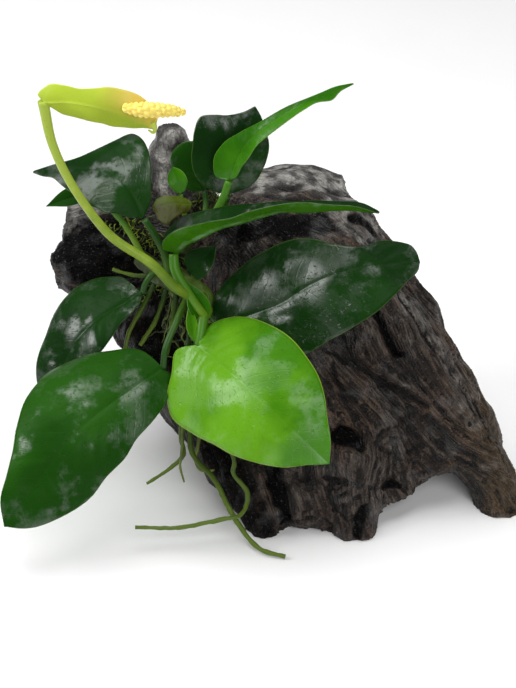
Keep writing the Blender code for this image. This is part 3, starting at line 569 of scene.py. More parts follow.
class Look:
    """A material whose nodes are added by short calls. Sockets and plain numbers may be mixed freely."""

    def __init__(self, name):
        self.material = bpy.data.materials.new(name)
        self.material.use_nodes = True
        self.tree = self.material.node_tree
        self.shader = self.tree.nodes["Principled BSDF"]

    def put(self, socket, value):
        if isinstance(value, bpy.types.NodeSocket):
            self.tree.links.new(value, socket)
        elif isinstance(value, tuple) and len(value) == 3 and socket.type == "RGBA":
            socket.default_value = (*value, 1.0)
        else:
            socket.default_value = value

    def set(self, **values):
        """Sets the shader's inputs: base_color stands for Base Color, and so on."""
        for label, value in values.items():
            wanted = label.replace("_", " ").lower()
            socket = next(s for s in self.shader.inputs if s.name.lower() == wanted)
            self.put(socket, value)

    def number(self, label):
        node = self.tree.nodes.new("ShaderNodeAttribute")
        node.attribute_name = label
        return node.outputs["Fac"]

    def math(self, operation, *values):
        node = self.tree.nodes.new("ShaderNodeMath")
        node.operation = operation
        for socket, value in zip(node.inputs, values):
            self.put(socket, value)
        return node.outputs[0]

    def rise(self, value, low, high):
        """A smooth step of a number, from nought at low to one at high."""
        node = self.tree.nodes.new("ShaderNodeMapRange")
        node.interpolation_type = "SMOOTHSTEP"
        self.put(node.inputs["Value"], value)
        node.inputs["From Min"].default_value = low
        node.inputs["From Max"].default_value = high
        return node.outputs["Result"]

    def noise(self, size, detail=3.0, roughness=0.55, stretch=(1, 1, 1), warp=0.0):
        """Noise in the object's own space, with a feature size in millimetres."""
        place_node = self.tree.nodes.new("ShaderNodeTexCoord")
        mapping = self.tree.nodes.new("ShaderNodeMapping")
        mapping.inputs["Scale"].default_value = stretch
        self.tree.links.new(place_node.outputs["Object"], mapping.inputs["Vector"])
        node = self.tree.nodes.new("ShaderNodeTexNoise")
        node.inputs["Scale"].default_value = 1 / (size * MM)
        node.inputs["Detail"].default_value = detail
        node.inputs["Roughness"].default_value = roughness
        node.inputs["Distortion"].default_value = warp
        self.tree.links.new(mapping.outputs["Vector"], node.inputs["Vector"])
        return node.outputs["Fac"]

    def fibres(self, size, reach, taps, detail=1.0):
        """Noise smeared along the stored grain, with a feature size and a reach in millimetres."""
        spot = self.tree.nodes.new("ShaderNodeTexCoord").outputs["Object"]
        way = self.tree.nodes.new("ShaderNodeAttribute")
        way.attribute_name = "grain"
        total = 0.0
        for tap in range(taps):
            move = reach * (2 * tap / (taps - 1) - 1) * MM
            shift = self.tree.nodes.new("ShaderNodeVectorMath")
            shift.operation = "MULTIPLY_ADD"
            self.tree.links.new(way.outputs["Vector"], shift.inputs[0])
            shift.inputs[1].default_value = (move, move, move)
            self.tree.links.new(spot, shift.inputs[2])
            node = self.tree.nodes.new("ShaderNodeTexNoise")
            node.inputs["Scale"].default_value = 1 / (size * MM)
            node.inputs["Detail"].default_value = detail
            self.tree.links.new(shift.outputs["Vector"], node.inputs["Vector"])
            total = self.math("ADD", node.outputs["Fac"], total)
        return self.math("DIVIDE", total, float(taps))

    def mix(self, share, first, second, kind="MIX"):
        node = self.tree.nodes.new("ShaderNodeMix")
        node.data_type = "RGBA"
        node.blend_type = kind
        self.put(node.inputs[0], share)
        self.put(node.inputs[6], first)
        self.put(node.inputs[7], second)
        return node.outputs[2]

    def bump(self, height, depth, strength=1.0, under=None):
        """A bump from a height, whose whole rise is a depth in millimetres."""
        node = self.tree.nodes.new("ShaderNodeBump")
        node.inputs["Strength"].default_value = strength
        node.inputs["Distance"].default_value = depth * MM
        self.put(node.inputs["Height"], height)
        if under is not None:
            self.tree.links.new(under, node.inputs["Normal"])
        return node.outputs["Normal"]


class Blade:
    """The middle surface of a blade: a bent rib, and two halves that lift and curl across it."""

    def __init__(self, shape):
        self.shape = shape
        self.path = smooth_path(shape["rib"], 12)
        self.travel = travel_along(self.path)
        self.length = self.travel[-1]
        self.edges = [smooth_path(self.outline_points(side), 6) for side in ("left", "right")]
        self.lift = np.radians(shape["lift"])
        self.curl = np.radians(shape["curl"])

    def outline_points(self, side):
        """The outline of one half, from the notch to the tip."""
        shares = np.linspace(0.04, 0.96, 9)
        oval = [(self.length * t, self.shape.get("width", 0) / 2 * math.sin(math.pi * t**OVAL_LEAN)) for t in shares]
        return [(0, 0), *self.shape.get(side, oval), (self.length, 0)]

    def rib_at(self, along):
        inside = np.clip(along, 0.0, self.length)
        return np.stack([np.interp(inside, self.travel, self.path[:, axis]) for axis in range(3)], axis=-1)

    def points(self, along, across):
        """Points of the surface, across counted from the rib and above nought to the right."""
        inside = np.clip(along, 0.0, self.length)
        tangent = unit(self.rib_at(inside + 1.0) - self.rib_at(inside - 1.0))
        share = (inside / self.length)[..., None]
        start, end = (np.array(way, float) for way in self.shape["faces"])
        up = start * (1 - share) + end * share
        up = unit(up - tangent * (up * tangent).sum(-1, keepdims=True))
        right = np.cross(tangent, up)
        spot = self.rib_at(inside) + tangent * (along - inside)[..., None]
        side = (across > 0).astype(int)
        reach = np.abs(across)
        angle = self.lift[side] + self.curl[side] * reach / self.shape["curl_at"]
        sideways = np.sign(across) * reach * np.cos(angle)
        return spot + right * sideways[..., None] + up * (reach * np.sin(angle))[..., None]

    def normals(self, along, across, step=0.6):
        front = self.points(along + step, across) - self.points(along - step, across)
        right = self.points(along, across + step) - self.points(along, across - step)
        return unit(np.cross(right, front))

    def outline(self, share, side):
        """The edge of one half at shares of the way to the tip, as lengths along and across."""
        edge = self.edges[side]
        spot = share * (len(edge) - 1)
        along, across = (np.interp(spot, np.arange(len(edge)), edge[:, axis]) for axis in range(2))
        return along, np.maximum(across, 0)

    def grid(self, rows, columns):
        """How far along and across each point of the grid is, and its share of the way to the edge."""
        share = np.arange(1, rows) / rows
        part = np.arange(-columns, columns + 1) / columns
        part = np.sign(part) * np.abs(part) ** COLUMN_BUNCHING
        rib = (self.length * share**RIB_BUNCHING)[:, None]
        left, right = (self.outline(share, side) for side in (0, 1))
        on_right = part > 0
        edge_along = np.where(on_right, right[0][:, None], left[0][:, None])
        edge_across = np.where(on_right, right[1][:, None], left[1][:, None])
        along = rib + (edge_along - rib) * np.abs(part)
        return along, edge_across * part, np.broadcast_to(np.abs(part), along.shape)


def make_blade(name, shape, seed):
    """A leaf with a top and an underside, quilted between its veins and keeled below its rib."""
    surface = Blade(shape)
    small = surface.length < SMALL_LENGTH
    rows = SMALL_ROWS if small else BIG_ROWS
    columns = SMALL_COLUMNS if small else BIG_COLUMNS
    along, across, part = surface.grid(rows, columns)
    along = np.concatenate([[0.0], along.ravel(), [surface.length]])
    across = np.concatenate([[0.0], across.ravel(), [0.0]])
    part = np.concatenate([[0.0], part.ravel(), [0.0]])
    middle = surface.points(along, across)
    normal = surface.normals(along, across)
    reach = np.abs(across)
    widest = max(edge[:, 1].max() for edge in surface.edges)
    size = min(1.0, widest / 20)
    progress = np.clip(along / surface.length, 0, 1)

    drift = Noise(seed)
    sway = drift(middle, 15.0)
    spread = drift(middle + 50, 12.0)
    phase = (along - VEIN_LEAN * reach - VEIN_BEND * reach**2) / (VEIN_SPACING * size) + 0.7 * sway
    quilt = QUILT_HEIGHT * size * np.sin(2 * math.pi * phase) * smooth_step(0.02, 0.3, part) * (1 - part**4)
    quilt *= np.clip(0.55 + 1.3 * spread, 0.0, 1.7) * (1.25 - 0.9 * progress)
    ripple = np.sin(2 * math.pi * (progress * 1.8 + 0.35 * np.sign(across) + 0.1 * seed)) + 0.8 * sway
    wave = shape["wave"] * part**2 * ripple + 0.45 * size * drift(middle, 8.0) * (1 - 0.5 * part)
    taper = np.clip(1.15 - 1.35 * progress, 0.12, 1.0)
    thick = EDGE_THICKNESS + (BLADE_THICKNESS - EDGE_THICKNESS) * (1 - part**3)
    groove = GROOVE_DEPTH * size * taper * np.exp(-((reach / (GROOVE_WIDTH * size)) ** 2))
    keel = KEEL_HEIGHT * size * taper * np.exp(-((reach / (KEEL_WIDTH * size)) ** 2))
    top = middle + normal * (wave + quilt + thick / 2 - groove)[:, None]
    under = middle + normal * (wave + 0.6 * quilt - thick / 2 - keel)[:, None]

    width = 2 * columns + 1
    count = len(middle)
    inner = np.arange(1, count - 1).reshape(rows - 1, width)
    faces = []
    for near, far in zip(inner, inner[1:]):
        for j in range(width - 1):
            faces.append((near[j], near[j + 1], far[j + 1], far[j]))
    for j in range(width - 1):
        faces.append((0, inner[0][j + 1], inner[0][j]))
        faces.append((count - 1, inner[-1][j], inner[-1][j + 1]))
    top_faces = [tuple(int(v) for v in face) for face in faces]
    under_faces = [tuple(v + count for v in reversed(face)) for face in top_faces]
    loop = [0, *inner[:, 0], count - 1, *inner[::-1, -1]]
    rim = []
    for a, b in zip(loop, loop[1:] + loop[:1]):
        rim.append((int(a), int(b), int(b) + count, int(a) + count))
    slots = [0] * len(top_faces) + [1] * len(under_faces) + [2] * len(rim)
    item = mesh_item(name, np.vstack([top, under]), top_faces + under_faces + rim, slots)
    tidy_normals(item)
    note(item, along=np.tile(along / size, 2), across=np.tile(reach / size, 2), edge=np.tile(part, 2))
    note(item, progress=np.tile(progress, 2), side=np.tile(0.5 + 0.5 * np.sign(across) * part, 2))
    for side in ("top", "under", "rim"):
        item.data.materials.append(leaf_material(shape["look"], side))
    return item


def tidy_normals(item):
    work = bmesh.new()
    work.from_mesh(item.data)
    bmesh.ops.recalc_face_normals(work, faces=work.faces)
    work.to_mesh(item.data)
    work.free()


LEAF_MATERIALS = {}


def leaf_material(kind, side):
    """The look of one side of a kind of leaf: mottled, veined and waxy."""
    key = kind + "_" + side
    if key in LEAF_MATERIALS:
        return LEAF_MATERIALS[key]
    colours = LEAF_LOOKS[kind]
    look = Look("leaf_" + key)
    if side == "rim":
        colour = look.mix(look.rise(look.noise(3.0), 0.35, 0.65), colours["rim"], colours["vein"])
        look.set(base_color=colour, roughness=0.45)
        LEAF_MATERIALS[key] = look.material
        return look.material
    across = look.number("across")
    progress = look.number("progress")
    bend = look.math("MULTIPLY", look.math("POWER", across, 2.0), VEIN_BEND)
    lean = look.math("MULTIPLY_ADD", across, VEIN_LEAN, bend)
    wobble = look.math("MULTIPLY", look.noise(16.0), 0.9)
    travel = look.math("DIVIDE", look.math("SUBTRACT", look.number("along"), lean), VEIN_SPACING / 2)
    phase = look.math("ADD", travel, wobble)
    wave = look.math("ABSOLUTE", look.math("SINE", look.math("MULTIPLY", phase, math.pi)))
    vein = look.math("SUBTRACT", 1.0, look.rise(wave, 0.0, 0.3))
    faint = look.math("SUBTRACT", 1.0, look.rise(progress, 0.2, 0.75))
    rib = look.math("MULTIPLY", look.math("SUBTRACT", 1.0, look.rise(across, 0.2, 0.8)), faint)
    base = colours["top"] if side == "top" else colours["under"]
    patchy = look.math("MULTIPLY_ADD", look.math("SUBTRACT", progress, 0.4), 0.3, look.noise(24.0, 3.0, 0.5))
    patchy = look.math("MULTIPLY_ADD", look.math("SUBTRACT", 0.5, look.number("side")), 0.22, patchy)
    mottle = look.rise(patchy, 0.36, 0.64)
    darker = colours["mottle"] if side == "top" else tuple(0.7 * c for c in colours["under"])
    colour = look.mix(look.math("MULTIPLY", mottle, 0.9), base, darker)
    colour = look.mix(look.math("MULTIPLY", vein, 0.07), colour, colours["vein"])
    colour = look.mix(look.math("MULTIPLY", rib, 0.35), colour, colours["vein"])
    if kind == "spathe":
        warm = look.math("MULTIPLY", look.rise(progress, 0.35, 0.8), look.rise(look.number("side"), 0.35, 0.9))
        colour = look.mix(look.math("MULTIPLY", warm, 0.9), colour, LEAF_WARMTH)
    margin = look.rise(look.number("edge"), 0.975, 0.998)
    colour = look.mix(margin, colour, colours["rim"])
    gloss = look.math("MULTIPLY_ADD", look.noise(6.0, 5.0, 0.65), 0.2, colours["roughness"] - 0.1)
    wet = look.math("MULTIPLY", look.rise(look.noise(17.0, 6.0, 0.62), 0.47, 0.60), colours["sheen"])
    shine = look.math("ADD", wet, 0.035)
    specks = look.rise(look.noise(1.1, 2.0, 0.5), 0.62, 0.72)
    dents = look.math("MULTIPLY", look.rise(look.noise(1.7, 2.0, 0.5), 0.64, 0.76), -1.2)
    height = look.math("ADD", look.math("MULTIPLY", vein, -0.2), look.math("MULTIPLY", look.noise(1.6, 4.0, 0.6), 0.4))
    height = look.math("ADD", height, look.math("ADD", look.math("MULTIPLY", specks, 0.9), dents))
    rough = look.bump(height, 0.16 if side == "top" else 0.05, 0.7)
    look.set(base_color=colour, roughness=gloss, normal=rough, specular_ior_level=shine)
    LEAF_MATERIALS[key] = look.material
    return look.material


def tube_skin(rows, sides, spacing, shape=None):
    """The points and faces of a round tube through rows of (x, y, z, radius), and two numbers for each point:
    its share of the length and its turn round the tube. shape() gives the change of radius over its skin.
    """
    fine = smooth_path(rows, 12)
    travel = travel_along(fine)
    count = max(4, int(travel[-1] / spacing) + 1)
    at = np.linspace(0, travel[-1], count)
    path = np.stack([np.interp(at, travel, fine[:, axis]) for axis in range(4)], axis=-1)
    tangents = unit(np.gradient(path[:, :3], axis=0))
    side = unit(np.cross(tangents[0], (0.3, 0.9, 0.2)))
    angles = np.arange(sides) * 2 * math.pi / sides
    rings = []
    for tangent in tangents:
        side = unit(side - tangent * side.dot(tangent))
        other = np.cross(tangent, side)
        rings.append(np.cos(angles)[:, None] * side + np.sin(angles)[:, None] * other)
    rings = np.array(rings)
    radius = np.broadcast_to(path[:, 3:4], (count, sides))
    share = np.broadcast_to((at / travel[-1])[:, None], (count, sides))
    turn = np.broadcast_to(angles, (count, sides))
    if shape is not None:
        radius = radius + shape(at[:, None] + 0 * turn, turn, path[:, None, :3] + rings * radius[..., None])
    points = path[:, None, :3] + rings * radius[..., None]
    points = np.vstack([points.reshape(-1, 3), path[0, :3], path[-1, :3]])
    faces = []
    for i in range(count - 1):
        for j in range(sides):
            k = (j + 1) % sides
            faces.append((i * sides + j, i * sides + k, (i + 1) * sides + k, (i + 1) * sides + j))
    last = (count - 1) * sides
    for j in range(sides):
        k = (j + 1) % sides
        faces.append((count * sides, k, j))
        faces.append((count * sides + 1, last + j, last + k))
    numbers = np.stack([np.append(share.ravel(), [0.0, 1.0]), np.append(turn.ravel(), [0.0, 0.0])])
    return points, faces, numbers


def tube(name, rows, sides, spacing, shape=None):
    """A round tube as an object of its own."""
    points, faces, (share, turn) = tube_skin(rows, sides, spacing, shape)
    item = mesh_item(name, points, faces)
    note(item, share=share, turn=turn)
    return item


def tangle(name, strands, sides, spacing):
    """Many thin tubes joined into one object, each with a tone of its own."""
    chance = np.random.default_rng(len(strands))
    points, faces, shares, tones = [], [], [], []
    count = 0
    for rows in strands:
        skin, around, (share, _) = tube_skin(rows, sides, spacing)
        points.append(skin)
        faces += [tuple(v + count for v in face) for face in around]
        shares.append(share)
        tones.append(np.full(len(skin), chance.uniform()))
        count += len(skin)
    item = mesh_item(name, np.vstack(points), faces)
    note(item, share=np.concatenate(shares), tone=np.concatenate(tones))
    return item


def stalk_material(name, low, high, roughness=0.35):
    """A smooth fleshy stem whose colour changes from its foot to its top."""
    look = Look(name)
    share = look.math("ADD", look.number("share"), look.math("MULTIPLY", look.math("SUBTRACT", look.noise(6.0), 0.5), 0.5))
    colour = look.mix(look.rise(share, 0.1, 0.8), low, high)
    fleck = look.rise(look.noise(0.9, 4.0, 0.6), 0.58, 0.72)
    colour = look.mix(look.math("MULTIPLY", fleck, 0.35), colour, tuple(0.5 * c for c in low))
    rough = look.bump(look.noise(0.8, 4.0, 0.6, stretch=(1, 1, 0.3)), 0.08, 0.6)
    look.set(base_color=colour, roughness=roughness, normal=rough, specular_ior_level=0.25)
    return look.material


class Web:
    """The edges of a mesh, for averaging values over neighbours."""

    def __init__(self, mesh):
        ends = np.empty(2 * len(mesh.edges), np.int64)
        mesh.edges.foreach_get("vertices", ends)
        self.near, self.far = ends.reshape(-1, 2).T
        self.size = len(mesh.vertices)
        self.count = np.bincount(ends, minlength=self.size)

    def mean(self, values):
        columns = values.reshape(self.size, -1).T
        sums = [
            np.bincount(self.near, column[self.far], self.size) + np.bincount(self.far, column[self.near], self.size)
            for column in columns
        ]
        return (np.array(sums) / self.count).T.reshape(values.shape)

    def soften(self, values, rounds):
        for _ in range(rounds):
            values = (values + self.mean(values)) / 2
        return values


class Grain:
    """The way that the fibres run at any place, from the grain lines nearby."""

    CELL = 5.0
    MARGIN = 30.0

    def __init__(self, points):
        self.low = points.min(0) - self.MARGIN
        shape = np.ceil((points.max(0) + self.MARGIN - self.low) / self.CELL).astype(int) + 1
        cells = np.stack(np.meshgrid(*(np.arange(n) for n in shape), indexing="ij"), axis=-1).reshape(-1, 3)
        spots = self.low + cells * self.CELL
        total = np.zeros(spots.shape)
        for line in GRAIN_LINES.values():
            path = smooth_path(line, 6)
            heading = unit(np.gradient(path, axis=0))
            for spot, way in zip(path, heading):
                apart = ((spots - spot) ** 2).sum(1)
                total += way / (apart[:, None] + 40.0) ** 2
        sway = np.stack([Noise(seed)(spots, 22.0) for seed in (11, 12, 13)], axis=-1)
        self.block = (unit(total) + 0.35 * sway).reshape(*shape, 3)

    def __call__(self, points):
        return unit(blend(self.block, (points - self.low) / self.CELL))


def streaks(points, normals, grain, noise, kind):
    """Noise smeared along the grain, with an even spread of about one."""
    size, reach, steps = kind["size"], kind["reach"], kind["steps"]
    total = noise(points, size)
    for way in (1, -1):
        spots = points.copy()
        for _ in range(steps):
            heading = grain(spots)
            heading = unit(heading - normals * (heading * normals).sum(1)[:, None])
            spots += way * heading * reach / steps
            total += noise(spots, size)
    return total / total.std()


def mesh_points(mesh):
    points = np.empty(3 * len(mesh.vertices))
    mesh.vertices.foreach_get("co", points)
    return points.reshape(-1, 3) / MM - MIDDLE


def mesh_normals(mesh):
    normals = np.empty(3 * len(mesh.vertices), np.float32)
    mesh.vertex_normals.foreach_get("vector", normals)
    return normals.reshape(-1, 3).astype(float)


def store_points(mesh, points):
    mesh.vertices.foreach_set("co", place(points).ravel())
    mesh.update()


def melted_wood():
    """One fine mesh round all the wood's solids, with their facets smoothed away."""
    work = bmesh.new()
    for node in WOOD_NODES:
        work.from_mesh(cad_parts[node].data)
    bmesh.ops.remove_doubles(work, verts=work.verts, dist=0.01 * MM)
    work.normal_update()
    for vert in work.verts:
        vert.co += vert.normal * WOOD_SWELL * MM
    mesh = bpy.data.meshes.new("driftwood")
    work.to_mesh(mesh)
    work.free()
    item = link("driftwood", mesh)
    melt = item.modifiers.new("melt", "REMESH")
    melt.mode = "VOXEL"
    melt.voxel_size = WOOD_VOXEL * MM
    depsgraph = bpy.context.evaluated_depsgraph_get()
    fine = bpy.data.meshes.new_from_object(item.evaluated_get(depsgraph), depsgraph=depsgraph)
    item.modifiers.clear()
    item.data = fine
    bpy.data.meshes.remove(mesh)
    points = mesh_points(fine)
    web = Web(fine)
    for _ in range(FACET_SMOOTHING):
        points += 0.5 * (web.mean(points) - points)
        points -= 0.52 * (web.mean(points) - points)
    store_points(fine, points)
    return item, web


def pixel_ray(pixel):
    """The camera's place and the way through a pixel of the photograph."""
    rise = math.radians(CAMERA_ELEVATION)
    forward = np.array((0.0, math.cos(rise), -math.sin(rise)))
    upward = np.array((0.0, math.sin(rise), math.cos(rise)))
    step = SENSOR / CAMERA_LENS / max(PHOTO_SIZE)
    across = (pixel[0] - PHOTO_SIZE[0] / 2) * step
    up = (PHOTO_SIZE[1] / 2 - pixel[1]) * step
    start = np.array(CAMERA_TARGET) - CAMERA_DISTANCE * forward
    return start, forward + np.array((across, 0.0, 0.0)) + up * upward


def surface_of(mesh):
    """A search tree of a mesh's faces, in millimetres."""
    faces = [tuple(face.vertices) for face in mesh.polygons]
    return BVHTree.FromPolygons(mesh_points(mesh).tolist(), faces)


def press_marks(points, tree):
    """How deep, how dark and how grey the photograph's marks make each point of the wood."""
    depth = np.zeros(len(points))
    dark = np.zeros(len(points))
    grey = np.zeros(len(points))
    sway = np.stack([Noise(seed)(points, 3.5) for seed in (31, 32, 33)], axis=-1)
    for mark in MARKS.values():
        line = smooth_path(mark["pixels"], 6)
        hits = [tree.ray_cast(*(Vector(v) for v in pixel_ray(pixel)))[0] for pixel in line]
        spots = np.array([hit for hit in hits if hit is not None])
        bent = points + 0.3 * min(mark["radius"], 4.0) * sway
        apart = np.full(len(points), np.inf)
        for spot in spots:
            apart = np.minimum(apart, ((bent - spot) ** 2).sum(1))
        press = np.exp(-apart / mark["radius"] ** 2)
        depth += mark["depth"] * press
        # The dark share is painted shade, and the grey share is a painted wet reflection.
        dark = np.maximum(dark, mark["dark"] * smooth_step(0.1, 0.7, press))
        grey = np.maximum(grey, mark.get("grey", 0.0) * smooth_step(0.1, 0.7, press))
    return depth, dark, grey


def make_wood():
    item, web = melted_wood()
    mesh = item.data
    points = mesh_points(mesh)
    normals = mesh_normals(mesh)
    grain = Grain(points)
    depth, dark, grey = press_marks(points, surface_of(mesh))
    fibre = streaks(points, normals, grain, Noise(1), FIBRE)
    strand = streaks(points, normals, grain, Noise(2), STRAND)
    flute = streaks(points, normals, grain, Noise(3), FLUTE)
    split = streaks(points, normals, grain, Noise(4), STRAND)
    patch = smooth_step(-0.1, 0.6, Noise(5)(points, 24.0))
    crack = np.exp(-((split / CRACK_WIDTH) ** 2)) * patch
    bulge = ((points - web.soften(points, 60)) * normals).sum(1)
    calm = 1 - 0.85 * smooth_step(*EDGE_CALM, bulge)
    smooth_top = smooth_step(86, 96, points[:, 2])
    height = FIBRE["height"] * fibre + STRAND["height"] * np.tanh(strand) + FLUTE["height"] * np.tanh(flute)
    height = height * (1 - 0.65 * smooth_top) + LUMP_HEIGHT * Noise(6)(points, 10.0)
    height = (height - CRACK_DEPTH * crack * (1 - smooth_top)) * calm
    points = points + normals * (height - depth)[:, None]
    points[:, 2] = np.maximum(points[:, 2], 0.0)
    store_points(mesh, points)
    normals = mesh_normals(mesh)
    # How far each point lies below its neighbours, for painted shade in the hollows.
    near = ((web.soften(points, 6) - points) * normals).sum(1)
    wide = ((web.soften(points, 40) - points) * normals).sum(1)
    hollow = np.clip(0.5 + 2.2 * near + 0.45 * wide, 0, 1)
    # Painted shade on the faces that turn to the left, below the tops.
    high = smooth_step(86, 98, points[:, 2])
    left = smooth_step(0.15, 0.55, -normals[:, 0]) * (1 - high)
    ochre = smooth_step(66, 98, points[:, 0])
    # The spur's top and the back tops get a painted grey wet reflection as well, joined to that of the marks.
    on_spur = smooth_step(99, 106, points[:, 2]) * smooth_step(14, 22, -points[:, 0])
    behind = smooth_step(46, 56, points[:, 1]) * smooth_step(86, 98, points[:, 2])
    grey = np.maximum.reduce([grey, on_spur, behind])
    note(item, fibre=0.5 + 0.2 * fibre, strand=0.5 + 0.2 * strand, hollow=hollow, grey=grey, left=left)
    note(item, ochre=ochre, dark=dark)
    heading = grain(points)
    layer = mesh.attributes.new("grain", "FLOAT_VECTOR", "POINT")
    layer.data.foreach_set("vector", heading.astype(np.float32).ravel())
    mesh.materials.clear()
    mesh.materials.append(wood_material())
    mesh.shade_smooth()
    return item


def wood_material():
    """Wet driftwood: reddish-brown strands, with painted shade, near black, in the hollows, the marks and on the left
    faces, and a painted grey wet reflection on the tops.
    """
    look = Look("driftwood")
    strand = look.number("strand")
    fibre = look.number("fibre")
    thread = look.rise(look.fibres(0.75, 3.2, 13), 0.44, 0.56)
    streak = look.rise(look.fibres(1.5, 6.0, 11), 0.44, 0.56)
    painted_reflection = look.number("grey")
    mixed = look.math("ADD", look.math("MULTIPLY", strand, 0.35), look.math("MULTIPLY", fibre, 0.3))
    mixed = look.math("ADD", mixed, look.math("MULTIPLY", streak, 0.35))
    mixed = look.math("ADD", mixed, look.math("MULTIPLY", look.math("SUBTRACT", look.noise(12.0, 4.0, 0.6), 0.5), 0.9))
    tint = look.rise(look.noise(26.0, 3.0, 0.5), 0.38, 0.62)
    light = look.mix(tint, (0.062, 0.038, 0.026), (0.058, 0.046, 0.038))
    colour = look.mix(look.rise(mixed, 0.25, 0.8), (0.010, 0.006, 0.004), light)
    colour = look.mix(look.math("MULTIPLY", look.number("ochre"), 0.6), colour, (0.064, 0.042, 0.018))
    # Painted wet reflection: a pale grey laid over the tops, where the threads fade too.
    pale = look.mix(look.rise(look.noise(6.0, 4.0, 0.55), 0.40, 0.66), (0.040, 0.038, 0.036), (0.30, 0.29, 0.27))
    colour = look.mix(look.math("MULTIPLY", painted_reflection, 0.92), colour, pale)
    fade = look.math("SUBTRACT", 1.0, look.math("MULTIPLY", painted_reflection, 0.7))
    shade = look.mix(thread, (0.50, 0.48, 0.46), (1.5, 1.5, 1.5))
    colour = look.mix(fade, colour, shade, "MULTIPLY")
    # Painted shade, near black, on the faces that turn to the left.
    colour = look.mix(look.math("MULTIPLY", look.number("left"), 0.8), colour, (0.007, 0.006, 0.006))
    # Painted shade, near black, in the hollows.
    colour = look.mix(look.rise(look.number("hollow"), 0.52, 0.92), colour, (0.004, 0.003, 0.0025))
    # Painted shade, near black, in the pressed grooves, pits and cleft, in the notch, on the left face and under the
    # middle leaf.
    ragged = look.math("ADD", look.number("dark"), look.math("MULTIPLY", look.math("SUBTRACT", look.noise(3.0, 5.0), 0.5), 0.6))
    black = look.math("MULTIPLY", look.rise(ragged, 0.1, 1.0), look.math("MINIMUM", look.math("MULTIPLY", look.number("dark"), 1.6), 1.0))
    colour = look.mix(black, colour, (0.0025, 0.002, 0.002))
    shine = look.math("MULTIPLY_ADD", black, -0.16, 0.2)
    gloss = look.math("MULTIPLY_ADD", look.noise(4.0, 4.0, 0.6), 0.4, 0.25)
    glints = look.rise(look.noise(0.8, 2.0, 0.5), 0.60, 0.70)
    shine = look.math("MULTIPLY_ADD", glints, 0.6, look.math("MULTIPLY_ADD", look.rise(look.noise(9.0, 4.0), 0.5, 0.65), 0.35, shine))
    height = look.math("ADD", look.math("MULTIPLY", look.noise(0.8, 5.0, 0.7), 0.6), look.math("MULTIPLY", thread, 0.8))
    height = look.math("ADD", height, look.math("MULTIPLY", streak, 0.8))
    height = look.math("ADD", height, look.math("MULTIPLY", glints, 0.7))
    look.set(base_color=colour, roughness=gloss, normal=look.bump(height, 0.4, 0.9), specular_ior_level=shine)
    return look.material


def make_leaves():
    for seed, (name, shape) in enumerate(BLADES.items()):
        item = make_blade(name.replace("leaf", "blade"), shape, seed + 20)
        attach(item, "root")
        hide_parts(name)
    for seed, (name, shape) in enumerate(SHEATHS.items()):
        item = make_blade(name, shape, seed + 50)
        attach(item, "root")


def make_stalks():
    young = stalk_material("stalk_bright", (0.13, 0.24, 0.015), (0.05, 0.17, 0.008))
    grown = stalk_material("stalk_green", (0.05, 0.12, 0.01), (0.016, 0.065, 0.006))
    pale = stalk_material("stalk_pale", (0.09, 0.17, 0.008), (0.33, 0.43, 0.045))
    for name, rows in STALKS.items():
        item = tube(name.replace("stalk", "petiole"), rows, 16, 0.9)
        bright = any(word in name for word in ("light", "young", "middle"))
        item.data.materials.append(young if bright else grown)
        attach(item, "root")
        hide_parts(name)
    item = tube("peduncle", FLOWER_STALK, 20, 1.0)
    item.data.materials.append(pale)
    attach(item, "root")
    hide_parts("flower_stalk")


def make_rhizome():
    green = stalk_material("rhizome_green", (0.022, 0.034, 0.005), (0.05, 0.095, 0.007), 0.45)
    bark = Noise(70)
    for name, rows in RHIZOMES.items():

        def scars(at, turn, points):
            ring = np.abs(np.sin(math.pi * at / 4.2))
            return 0.35 * (ring - 0.6) + 0.35 * bark(points.reshape(-1, 3), 2.2).reshape(turn.shape)

        item = tube(name + "_skin", rows, 40, 0.5, scars)
        item.data.materials.append(green)
        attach(item, "root")
        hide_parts(name)


def make_flower():
    hook = tube("spathe_hook", SPATHE_HOOK, 10, 0.4)
    hook.data.materials.append(stalk_material("spathe_tip", (0.45, 0.52, 0.07), (0.40, 0.50, 0.06)))
    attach(hook, "root")
    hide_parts("spathe")
    item = make_blade("spathe_leaf", SPATHE, 40)
    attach(item, "root")
    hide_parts("spathe")
    beads = 6

    def bead(at, turn, points):
        row = at / 1.8
        spin = turn * beads / (2 * math.pi) + 0.5 * np.floor(row)
        round_up = np.abs(np.sin(math.pi * row)) * np.abs(np.sin(math.pi * spin))
        return 0.7 * np.sqrt(round_up) - 0.4

    item = tube("flower_spike", FLOWER_SPIKE, 60, 0.16, bead)
    look = Look("spike")
    colour = look.mix(look.rise(look.noise(1.6), 0.4, 0.65), (0.86, 0.72, 0.16), (0.80, 0.58, 0.10))
    look.set(base_color=colour, roughness=0.5, normal=look.bump(look.noise(0.4, 4.0), 0.08, 0.5))
    item.data.materials.append(look.material)
    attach(item, "root")
    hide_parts("spadix")


def strand_material(name, dark, bright):
    """Thin strands, each in its own tone between a dark and a bright colour."""
    look = Look(name)
    tone = look.math("MULTIPLY_ADD", look.math("SUBTRACT", look.noise(4.0), 0.5), 0.8, look.number("tone"))
    colour = look.mix(look.rise(tone, 0.25, 0.95), dark, bright)
    look.set(base_color=colour, roughness=0.5, normal=look.bump(look.noise(0.6, 4.0), 0.06, 0.6))
    return look.material


def creep(tree, start, heading, steps, radius, chance):
    """The rows of a thin root that wanders over the wood from a start, getting thinner."""
    spot = np.array(start, float)
    heading = unit(np.array(heading, float))
    rows = []
    for step in range(steps):
        left = 1 - step / steps
        rows.append((*spot, radius * (0.35 + 0.65 * left)))
        spot = spot + 2.2 * heading
        nearest, normal = tree.find_nearest(Vector(spot))[:2]
        target = np.array(nearest) + 0.7 * np.array(normal)
        spot = spot * 0.45 + target * 0.55
        heading = unit(heading + 0.42 * chance.normal(size=3) + np.array((0, 0, -0.12)))
    return rows


